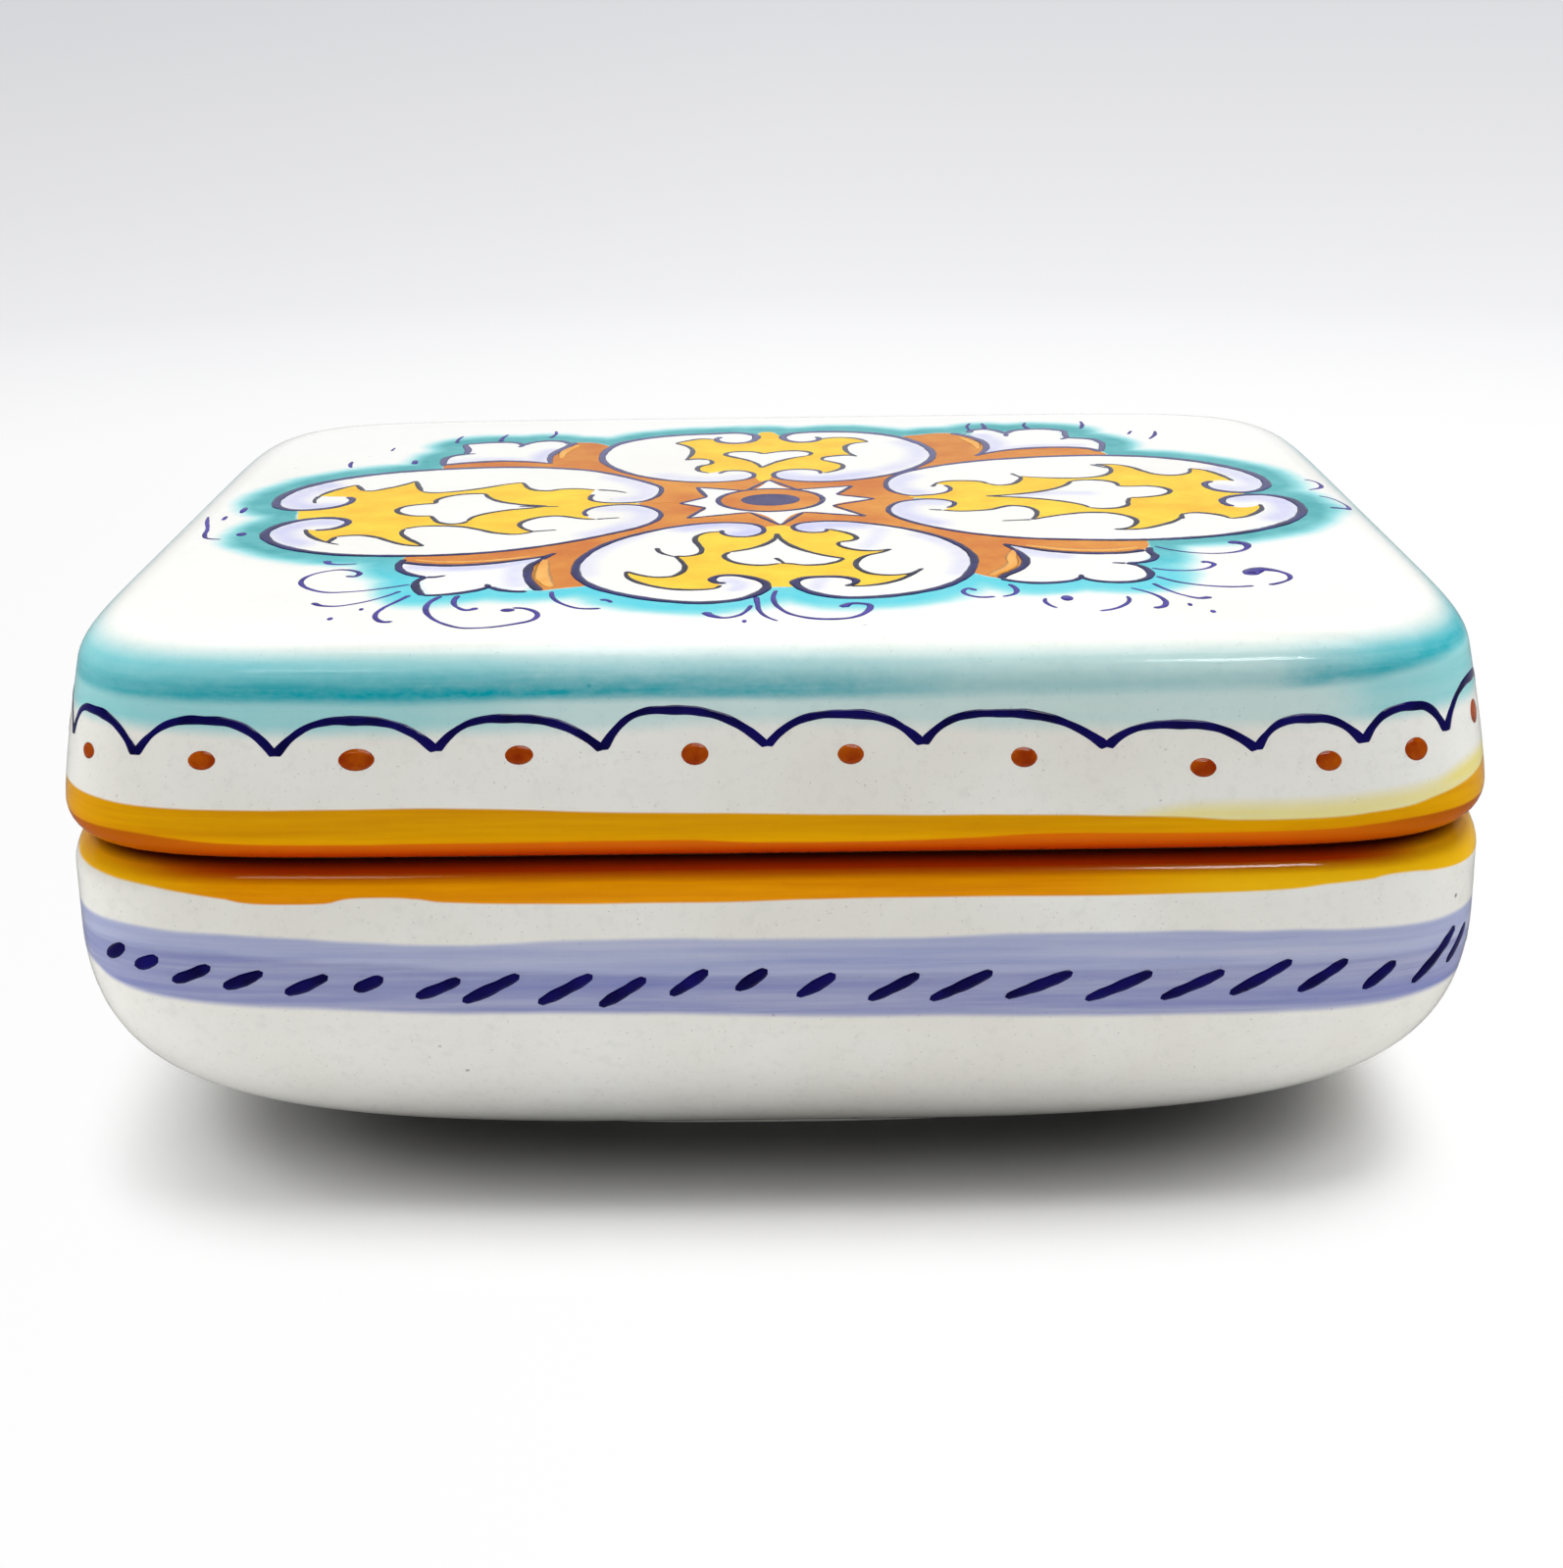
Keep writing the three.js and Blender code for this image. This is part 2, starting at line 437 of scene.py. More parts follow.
class Recipe:
    # The nodes of one material. Each call adds a node and gives its first useful output.

    def __init__(self, name):
        self.material = bpy.data.materials.new(name)
        self.material.use_nodes = True
        self.tree = self.material.node_tree
        self.tree.nodes.clear()
        self.place = self.add("TexCoord").outputs["Object"]

    def add(self, kind, inputs=None, **settings):
        node = self.tree.nodes.new("ShaderNode" + kind)
        for key, value in settings.items():
            setattr(node, key, value)
        for key, value in (inputs or {}).items():
            if isinstance(value, bpy.types.NodeSocket):
                self.tree.links.new(value, node.inputs[key])
            else:
                node.inputs[key].default_value = value
        return node

    def math(self, operation, first, second=0.0, third=0.0, clamp=False):
        return self.add("Math", {0: first, 1: second, 2: third}, operation=operation, use_clamp=clamp).outputs[0]

    def span(self, value, low, high, toLow=0.0, toHigh=1.0, smooth=False):
        inputs = {"Value": value, "From Min": low, "From Max": high, "To Min": toLow, "To Max": toHigh}
        kind = "SMOOTHSTEP" if smooth else "LINEAR"
        return self.add("MapRange", inputs, interpolation_type=kind).outputs["Result"]

    def mix(self, factor, first, second, blend="MIX"):
        inputs = {0: factor, 6: first, 7: second}
        return self.add("Mix", inputs, data_type="RGBA", blend_type=blend).outputs[2]

    def noise(self, scale, detail=3.0, roughness=0.5, stretch=(1, 1, 1), shift=(0, 0, 0)):
        place = self.place
        if stretch != (1, 1, 1) or shift != (0, 0, 0):
            place = self.add("Mapping", {"Vector": place, "Location": shift, "Scale": stretch}).outputs[0]
        inputs = {"Vector": place, "Scale": scale, "Detail": detail, "Roughness": roughness}
        return self.add("TexNoise", inputs).outputs["Fac"]

    def attribute(self, name):
        return self.add("Attribute", attribute_name=name).outputs["Fac"]

    def axis(self, name):
        return self.add("SeparateXYZ", {0: self.place}).outputs[name]

    def alongX(self, points, scale=mm):
        # A value that changes along the box, such as the height of a painted band's edge
        reach = plan["halfLength"] + 5
        low = min(height for _, height in points)
        high = max(height for _, height in points) + 0.01
        across = self.span(self.axis("X"), -reach * mm, reach * mm)
        curve = self.add("FloatCurve", {"Value": across})
        line = curve.mapping.curves[0]
        places = [((x + reach) / (2 * reach), (height - low) / (high - low)) for x, height in points]
        line.points[0].location = (0, places[0][1])
        line.points[1].location = (1, places[-1][1])
        for x, height in places:
            line.points.new(x, height)
        curve.mapping.update()
        return self.span(curve.outputs[0], 0, 1, low * scale, high * scale)

    def above(self, edge, soft, wander=0.0):
        # 1 above an edge and 0 below it, over a soft width; the edge wanders a little, as a brush does
        height = self.axis("Z")
        if wander:
            sway = self.span(self.noise(55, 2.0, shift=(0.3, 0.1, 0)), 0, 1, -wander * mm, wander * mm)
            height = self.math("ADD", height, sway)
        offset = self.math("SUBTRACT", height, edge)
        return self.span(offset, -soft * mm / 2, soft * mm / 2, smooth=True)

    def glossy(self, colour, roughness=0.07, bump=None, shine=0.15, strength=0.1):
        inputs = {"Base Color": colour, "Roughness": roughness, "IOR": 1.5, "Specular IOR Level": shine}
        if bump:
            inputs["Normal"] = self.add(
                "Bump", {"Height": bump, "Strength": strength, "Distance": 0.0002}).outputs[0]
        shader = self.add("BsdfPrincipled", inputs)
        output = self.add("OutputMaterial")
        self.tree.links.new(shader.outputs[0], output.inputs["Surface"])
        return self.material


glazeColours = {
    "white": paint(242, 242, 237),
    "whiteThin": paint(230, 227, 217),
    # a whiter white, painted light on the lid's back and top
    "whitePaintedLight": paint(250, 250, 248),
    "grey": paint(176, 176, 170),
    "speck": paint(92, 72, 56),
    "clay": paint(205, 164, 128),
    "clayDark": paint(176, 132, 98),
    "turquoise": paint(0, 160, 174),
    "turquoisePale": paint(112, 205, 211),
    "halo": paint(82, 206, 222),
    "haloPale": paint(148, 222, 226),
    "haloFar": paint(62, 166, 172),
    "yellow": paint(230, 166, 0),
    "yellowDeep": paint(214, 142, 0),
    "yellowPale": paint(236, 222, 128),
    "amber": paint(250, 166, 2),
    "amberDeep": paint(228, 138, 0),
    "amberRight": paint(250, 198, 18),
    "orange": paint(216, 106, 6),
    "orangeEnds": paint(176, 88, 6),
    "rust": paint(182, 55, 2),
    "brown": paint(92, 30, 0),
    "lavender": paint(196, 198, 238),
    "periwinkle": paint(160, 170, 212),
    "periwinkleDeep": paint(110, 120, 186),
}


def whiteGlaze(m):
    # Tin glaze: nearly white, thinner and warmer in places, faintly mottled, with fine dark specks
    c = glazeColours
    colour = m.mix(m.span(m.noise(35, 3), 0.35, 0.75), c["white"], c["whiteThin"])
    mottle = m.span(m.noise(700, 3, 0.7), 0.52, 0.74)
    colour = m.mix(m.math("MULTIPLY", mottle, 0.13), colour, c["grey"])
    fine = m.span(m.noise(2600, 2, 0.6), 0.67, 0.75)
    colour = m.mix(m.math("MULTIPLY", fine, 0.3), colour, c["speck"])
    cells = m.add("TexVoronoi", {"Vector": m.place, "Scale": 260.0}, feature="F1").outputs["Distance"]
    few = m.span(m.noise(150, 1), 0.60, 0.66)
    spots = m.math("MULTIPLY", m.span(cells, 0.09, 0.04), few)
    return m.mix(m.math("MULTIPLY", spots, 0.8), colour, c["speck"])


def bareClay(m, colour):
    c = glazeColours
    clay = m.mix(m.noise(400, 4, 0.7), c["clay"], c["clayDark"])
    return m.mix(m.attribute("bare"), colour, clay)


def glazeBump(m):
    # A faint ripple, as a poured glaze has
    ripple = m.noise(60, 2)
    skin = m.noise(700, 2)
    return m.math("MULTIPLY_ADD", skin, 0.25, ripple)


def glazeRoughness(m, gloss=0.06):
    spread = m.span(m.noise(90, 3), 0.3, 0.8, gloss, gloss + 0.06)
    return m.math("MULTIPLY_ADD", m.attribute("bare"), 0.75, spread)


def baseGlaze():
    m = Recipe("base tin glaze")
    c = glazeColours
    colour = whiteGlaze(m)
    streaks = m.noise(26, 4, 0.65, stretch=(1, 1, 26))
    onWall = m.attribute("outside")

    top = m.alongX([(-70, 32.7), (-60, 32.3), (-50, 31.9), (-40, 31.3), (-32, 31), (-20, 31.4), (0, 31.3),
                      (10, 31.2), (30, 31.7), (50, 31.4), (65, 31.1)])
    second = m.alongX([(-70, 30.6), (-60, 30.3), (-50, 29.6), (-40, 29), (-30, 28.2), (-20, 27.8), (0, 27.3),
                         (30, 27.6), (60, 28)])
    bottom = m.alongX([(-73, 27), (-69, 26), (-65, 25.2), (-60, 24.7), (-50, 24.2), (-40, 23.7), (-30, 23.3), (-10, 23),
                         (0, 22.6), (10, 22.4), (30, 22.2), (60, 22.4), (70, 23)])
    band = m.math("SUBTRACT", m.above(bottom, 0.9, 0.3), m.above(top, 0.6, 0.3), clamp=True)
    deep = m.math("SUBTRACT", 1.0, m.above(second, 0.9, 0.4))
    wash = m.span(streaks, 0.3, 0.75)
    wash = m.math("MULTIPLY_ADD", deep, 0.8, m.math("MULTIPLY", wash, 0.45), clamp=True)
    shade = m.mix(wash, c["periwinkle"], c["periwinkleDeep"])
    cover = m.math("MULTIPLY", band, m.span(streaks, 0.2, 0.8, 0.62, 0.95))
    colour = m.mix(m.math("MULTIPLY", cover, onWall), colour, shade)

    rim = m.alongX([(-75, 37.6), (-66, 37.2), (-60, 36.6), (-55, 36), (-50, 35.5), (-45, 35.6), (-41, 36.2),
                      (-36, 36), (-33, 35.6), (-25, 35.4), (-10, 35.3), (10, 35.6), (30, 35.6), (50, 35.8),
                      (55, 36.2), (60, 36.5), (63, 36.8), (66, 36.6), (75, 36.2)])
    warm = m.mix(m.span(streaks, 0.35, 0.7), c["amber"], c["amberDeep"])
    warm = m.mix(m.span(m.axis("X"), 26 * mm, 50 * mm, 0, 0.85, True), warm, c["amberRight"])
    warm = m.mix(m.span(m.axis("X"), -52 * mm, -70 * mm, 0, 0.8, True), warm, c["amberRight"])
    height = m.axis("Z")
    middle = m.alongX([(-72, 0.2), (-64, 0.45), (-50, 1), (55, 1), (64, 0.5), (70, 0.1)], 1.0)
    warm = m.mix(m.math("MULTIPLY", m.span(height, 37.4 * mm, 38.5 * mm), middle), warm, c["rust"])
    warm = m.mix(m.span(height, 38.6 * mm, 39.2 * mm), warm, c["brown"])
    colour = m.mix(m.math("MULTIPLY", m.above(rim, 0.3, 0.15), onWall), colour, warm)
    colour = bareClay(m, colour)
    shine = m.span(height, 35.5 * mm, 37 * mm, 0.15, 0.08)
    return m.glossy(colour, glazeRoughness(m), glazeBump(m), shine)


def lidGlaze():
    m = Recipe("lid tin glaze")
    c = glazeColours
    colour = whiteGlaze(m)
    streaks = m.noise(24, 4, 0.65, stretch=(1, 1, 24), shift=(0.2, 0, 0))
    onWall = m.attribute("outside")
    height = m.axis("Z")

    # painted light: the glaze is painted whiter towards the back and on the flat top, as if more light fell there
    paintedLight = m.span(m.axis("Y"), -30 * mm, 50 * mm, 0, 0.9)
    paintedLight = m.math("MAXIMUM", paintedLight, m.span(height, 60.6 * mm, 61.2 * mm, 0, 0.55))
    colour = m.mix(paintedLight, colour, c["whitePaintedLight"])

    # soft lavender inside the rosette, and the turquoise halo round it
    cloudy = m.noise(180, 3, 0.6)
    tint = m.math("MULTIPLY", m.attribute("lavender"), m.span(cloudy, 0.25, 0.7, 0.55, 1.0), clamp=True)
    colour = m.mix(tint, colour, c["lavender"])
    sway = m.span(m.noise(120, 3), 0.2, 0.8, -0.9, 0.9)
    reach = m.math("ADD", m.attribute("haloReach"), sway)
    started = m.span(m.attribute("haloReach"), 0.0, 0.4)
    pale = m.math("MULTIPLY", m.span(reach, 6.4, 3.6, smooth=True), started)
    strong = m.math("MULTIPLY", m.span(reach, 4.8, 2.2, smooth=True), started)
    strong = m.math("MULTIPLY", strong, m.span(cloudy, 0.3, 0.65, 0.7, 1.0))
    colour = m.mix(pale, colour, c["haloPale"])
    turned = m.span(m.axis("Y"), -36 * mm, -22 * mm)
    colour = m.mix(strong, colour, m.mix(turned, c["halo"], c["haloFar"]))

    # the pale wash over the shoulder, and the dark stroke in it, which fades upwards; the wash's fade to white at the
    # top is partly where the wash ends and partly a painted highlight on the shoulder's turn
    washTopAndHighlight = m.span(height, 61.1 * mm, 59.2 * mm, smooth=True)
    washBottom = m.alongX([(-75, 53.6), (-40, 53), (0, 53.6), (40, 52.8), (75, 53.4)])
    thickness = m.alongX([(-75, 0.9), (-48, 0.85), (-30, 0.7), (-15, 0.45), (50, 0.42), (60, 0.85), (75, 0.95)], 1)
    wash = m.math("MULTIPLY", washTopAndHighlight, m.above(washBottom, 2.0, 0.6))
    wash = m.math("MULTIPLY", wash, m.span(streaks, 0.2, 0.8, 0.75, 1.0))
    wash = m.math("MULTIPLY", wash, m.math("MULTIPLY", thickness, onWall))
    colour = m.mix(wash, colour, c["turquoisePale"])
    sway = m.span(m.noise(70, 3, stretch=(1, 1, 4)), 0.2, 0.8, -0.3 * mm, 0.3 * mm)
    centre = m.alongX([(-75, 57.4), (-60, 57), (12, 57), (30, 57.1), (55, 57.6), (66, 58.6), (75, 59.4)])
    centre = m.math("ADD", centre, sway)
    strength = m.alongX([(-75, 0.6), (-64, 0.85), (-40, 1), (0, 0.9), (14, 0.6), (26, 0.38), (46, 0.38), (54, 0.95),
                         (70, 1), (75, 0.7)], 1)
    upper = m.span(height, 61.1 * mm, centre)
    lower = m.span(height, m.math("SUBTRACT", centre, 1.5 * mm), m.math("SUBTRACT", centre, 0.2 * mm), smooth=True)
    depth = m.math("MULTIPLY", upper, lower)
    depth = m.math("MULTIPLY", depth, m.span(streaks, 0.25, 0.6, 0.74, 1.0))
    depth = m.math("MULTIPLY", depth, m.span(m.noise(420, 3, 0.7, stretch=(1, 1, 2)), 0.3, 0.62, 0.8, 1.0))
    depth = m.math("MULTIPLY", depth, m.math("MULTIPLY", strength, onWall))
    colour = m.mix(depth, colour, c["turquoise"])

    # the yellow and orange bands along the lower edge
    yellowTop = m.alongX([(-75, 46), (-60, 45.5), (-35, 45.6), (-15, 45), (5, 44.6), (30, 44.2),
                           (40, 43.9), (50, 43.4), (60, 43.8), (66, 44.7), (72, 45.9), (75, 46.6)])
    paleTop = m.alongX([(-75, 45), (30, 43.6), (38, 44.6), (44, 45.1), (50, 45.1), (60, 45.6), (66, 46.3), (75, 48)])
    orangeTop = m.alongX([(-70, 42.9), (-60, 42.4), (-50, 41.9), (-30, 41.9), (-10, 42), (0, 41.6), (20, 41.9),
                            (30, 42.3), (50, 42.1), (60, 42.5), (70, 43)])
    yellow = m.mix(m.span(streaks, 0.35, 0.7), c["yellow"], c["yellowDeep"])
    below = m.math("SUBTRACT", 1.0, m.above(yellowTop, 0.3, 0.15))
    thin = m.math("SUBTRACT", 1.0, m.above(paleTop, 1.8, 0.4))
    thin = m.math("MULTIPLY", thin, m.span(streaks, 0.25, 0.7, 0.6, 0.95))
    thin = m.math("MULTIPLY", thin, onWall)
    colour = m.mix(thin, colour, c["yellowPale"])
    colour = m.mix(m.math("MULTIPLY", below, onWall), colour, yellow)
    ends = m.span(m.math("ABSOLUTE", m.axis("X")), 46 * mm, 72 * mm, smooth=True)
    orange = m.mix(m.span(height, 41.9 * mm, 40.4 * mm), c["orange"], c["rust"])
    orange = m.mix(ends, orange, c["orangeEnds"])
    below = m.math("SUBTRACT", 1.0, m.above(orangeTop, 0.3, 0.2))
    colour = m.mix(m.math("MULTIPLY", below, onWall), colour, orange)
    colour = bareClay(m, colour)
    onShoulder = m.math("MULTIPLY", m.span(height, 56 * mm, 58 * mm), m.span(height, 61.3 * mm, 60.6 * mm))
    shine = m.span(height, 41.5 * mm, 45 * mm, 0.04, 0.15)
    shine = m.math("MULTIPLY", shine, m.span(onShoulder, 0, 1, 1, 0.4))
    return m.glossy(colour, glazeRoughness(m), glazeBump(m), shine)


def brushColour(name, thin, thick, scale=260, paintedVeil=None):
    # Paint under the glaze, thinner in some places than in others; some of it is painted paler at the back, a painted
    # reflection veiling it there
    m = Recipe(name)
    pooled = m.span(m.noise(scale, 4, 0.6), 0.3, 0.7)
    colour = m.mix(pooled, thin, thick)
    if paintedVeil:
        colour = m.mix(m.span(m.axis("Y"), -22 * mm, 45 * mm, 0, 0.62), colour, paintedVeil)
    return m.glossy(colour)


def roundOff(places, inset):
    # The corners of the plan round off more and more from the belly down to the foot
    share = np.clip((inset - 1) / (baseSizes["footInset"] - 1), 0, 1) ** 1.5
    fullness = 1 / plan["fullness"] + share * (1 / baseSizes["footFullness"] - 1 / plan["fullness"])
    x = np.abs(places[:, 0]) / (plan["halfLength"] - inset)
    y = np.abs(places[:, 1]) / (plan["halfWidth"] - inset)
    reach = (x ** (1 / fullness) + y ** (1 / fullness)) ** fullness
    return places[:, :2] / np.maximum(reach, 1e-6)[:, None]


foot, baseOutside, baseInside = baseSection()
baseRings = ringsOf(foot + baseOutside + baseInside)
glazedBase = throwShell("glazed_base", baseRings)
places = vertexPlaces(glazedBase)
inset = insetOf(places[:, 0], places[:, 1])
outerHeights = np.array([height for _, height in baseOutside])
outerInsets = np.array([i for i, _ in baseOutside])
onOutside = (inset < np.interp(places[:, 2], outerHeights, outerInsets) + 0.4) & (places[:, 2] > 0.6)
bareFrom = baseSizes["rimInset"] + baseSizes["rimEdge"] + baseSizes["glazeReach"] - 0.1
onSeat = (places[:, 2] > baseSizes["rimHeight"] - 0.02) & (inset > bareFrom)
onLand = (places[:, 2] < 0.02) & (inset < baseSizes["footInset"] + baseSizes["footLand"] + 1)
setAttribute(glazedBase, "outside", onOutside.astype(float))
setAttribute(glazedBase, "bare", (onSeat | onLand).astype(float))
glazedBase.data.materials.clear()
glazedBase.data.materials.append(baseGlaze())
underneath = (onOutside & (places[:, 2] < baseSizes["bellyHeight"])) | (places[:, 2] < 2.4)
places[underneath, :2] = roundOff(places, inset)[underneath]
glazedBase.data.vertices.foreach_set("co", (places * mm).ravel())
glazedBase.data.update()
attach(glazedBase, "base")
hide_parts("base")
print("base thrown:", len(glazedBase.data.polygons), "faces")


# The rosette, as drawn on the flat top. The painter drew each of its four lobes by eye, so no
# two are alike. A run of points is one smooth sweep of the brush.

lobeEdges = {
    "front left": [
        (-5.9, -13.4), (-5.8, -15.2), (-4.6, -16.7), (-3, -16.9), (-1.4, -15.4), (-1.1, -12.9), (-2.2, -10.6),
        (-4.6, -9.6), (-7.6, -9.7), (-11.2, -11.2), (-14.9, -14.2), (-18.4, -18.6), (-20.8, -24.5),
        (-21.6, -30), (-20.9, -35.2), (-18.7, -39.6), (-15, -43.2), (-11, -45.5), (-7, -46.4),
        (-3.6, -45.3), (-1.6, -43), (-0.6, -40.2), (-0.9, -38), (-2.4, -36), (-4.2, -34.9), (-5.7, -35.1),
        (-6.5, -36.6), (-6, -38), (-4.9, -38.4)],
    "front right": [
        (6.3, -13.3), (5.9, -14.9), (4.6, -15.2), (3.1, -14.4), (2.3, -12.4), (3, -10.5), (5.2, -9.5),
        (8.2, -9.6), (11.8, -11.2), (15.6, -14), (19, -18), (21.3, -23), (22.2, -28), (21.6, -33.5),
        (20.4, -37.4), (17.8, -41.2), (14.4, -43.6), (10.6, -44.9), (7, -44.8), (4.2, -42.8), (2.7, -40),
        (2.4, -38), (3.4, -36.5), (5.6, -36), (7.6, -36.3), (8.9, -37.7), (8.7, -39.2), (7.7, -40.2)],
    "left back": [
        (-22.3, 7), (-22.6, 5.2), (-22.3, 3.6), (-21, 2.4), (-18.5, 1.9), (-16, 2.6), (-14.6, 4.8),
        (-14, 8), (-14.2, 10.8), (-15.6, 13.2), (-17.5, 15.6), (-20.5, 18.9), (-24, 21.6), (-28, 23.2),
        (-33, 24.2), (-38, 24.2), (-43, 23.5), (-50, 21.5), (-55, 18.5), (-59, 14), (-61, 9), (-61.3, 5),
        (-60.3, 1.6), (-58.3, 0.1), (-55.6, 0.3), (-53.4, 1.6), (-52.1, 3.8), (-52.1, 6), (-52.9, 7.3)],
    "left front": [
        (-22.2, -5.2), (-22.7, -3.4), (-21.8, -0.6), (-20, 0.6), (-18, 0.9), (-16, 0.2), (-14.5, -1.5),
        (-13.5, -4), (-13.7, -7.5), (-15.4, -11), (-18.5, -14.3), (-22.5, -17.8), (-27, -20.8), (-32, -23),
        (-38, -24.1), (-44, -24), (-49.5, -23), (-54.5, -20.3), (-57.8, -16.6), (-59.3, -12.4),
        (-58.9, -9.2), (-57.6, -6.7), (-55.7, -5), (-53.6, -4.4), (-51.6, -5), (-50.5, -6.6),
        (-50.7, -8.6), (-52, -10.4), (-53.8, -10.9)],
    "right back": [
        (21.4, 9.9), (22, 8.2), (21.7, 6.4), (20.6, 5), (18.8, 4.2), (16.9, 4.1), (15.3, 5.6), (14.3, 8),
        (14.1, 11), (14.6, 14), (15.8, 16.6), (18.4, 19.6), (22, 22.3), (26.5, 24.6), (32, 26.2),
        (38, 27.2), (44, 27.2), (49.5, 25.9), (54.5, 23), (58.4, 18.8), (60.8, 14.2), (61.5, 10),
        (61, 6.6), (59.4, 4.3), (57.6, 3.5), (55.8, 4), (54.2, 5.6), (53.7, 7.4), (53.9, 9.2), (55, 10.4)],
    "right front": [
        (20.9, -3), (21.8, -1.6), (21.9, 0), (20.8, 1.4), (19, 2), (17.2, 1.6), (15.4, 0.6), (14.2, -1.6),
        (13.8, -4.2), (14.4, -7), (16.2, -10.2), (19.4, -13.8), (23.6, -17), (28.6, -19.2), (34.4, -20.3),
        (40.4, -20.8), (46.4, -20.3), (52.2, -18.6), (57.4, -15.4), (61, -11.4), (62.8, -7), (63, -3),
        (62.1, 0.2), (60.2, 1.9), (57.9, 2.2), (55.8, 1.4), (54.4, -0.4), (54.3, -2.6), (55.1, -4.2)],
    "back left": [
        (-7, 18.6), (-6, 20.2), (-4.2, 20.2), (-2.8, 18.8), (-2.5, 16.8), (-3.4, 15), (-5.6, 13.8),
        (-8.4, 13.4), (-12, 14.2), (-15.4, 16.2), (-18.6, 19.4), (-21.2, 23.8), (-22.6, 28), (-22.8, 32),
        (-22.2, 36.2), (-20.6, 40), (-17.6, 42.8), (-13.5, 44.8), (-9, 45.5), (-4.5, 45.8), (-2.6, 44),
        (-2.5, 41.5), (-3.6, 39.2), (-5.6, 38.6), (-7.4, 39.8), (-7.9, 41.6), (-7.2, 43.2)],
    "back right": [
        (6, 17.8), (5.8, 19.6), (4.2, 20.6), (2, 20.5), (0.4, 19.2), (0, 17), (0.8, 15), (2.8, 13.6),
        (6, 12.9), (9.4, 13.5), (12.6, 15), (16, 17.8), (18.8, 21.8), (20.6, 26), (21.1, 30), (20.6, 34),
        (19.2, 38), (17.2, 41.4), (14.2, 44.2), (10, 45.8), (5.5, 46), (2.2, 44.8), (1.2, 42.6),
        (1.8, 40.2), (3.4, 38.8), (5.2, 39.2), (6.2, 40.8), (5.8, 42.6)],
}

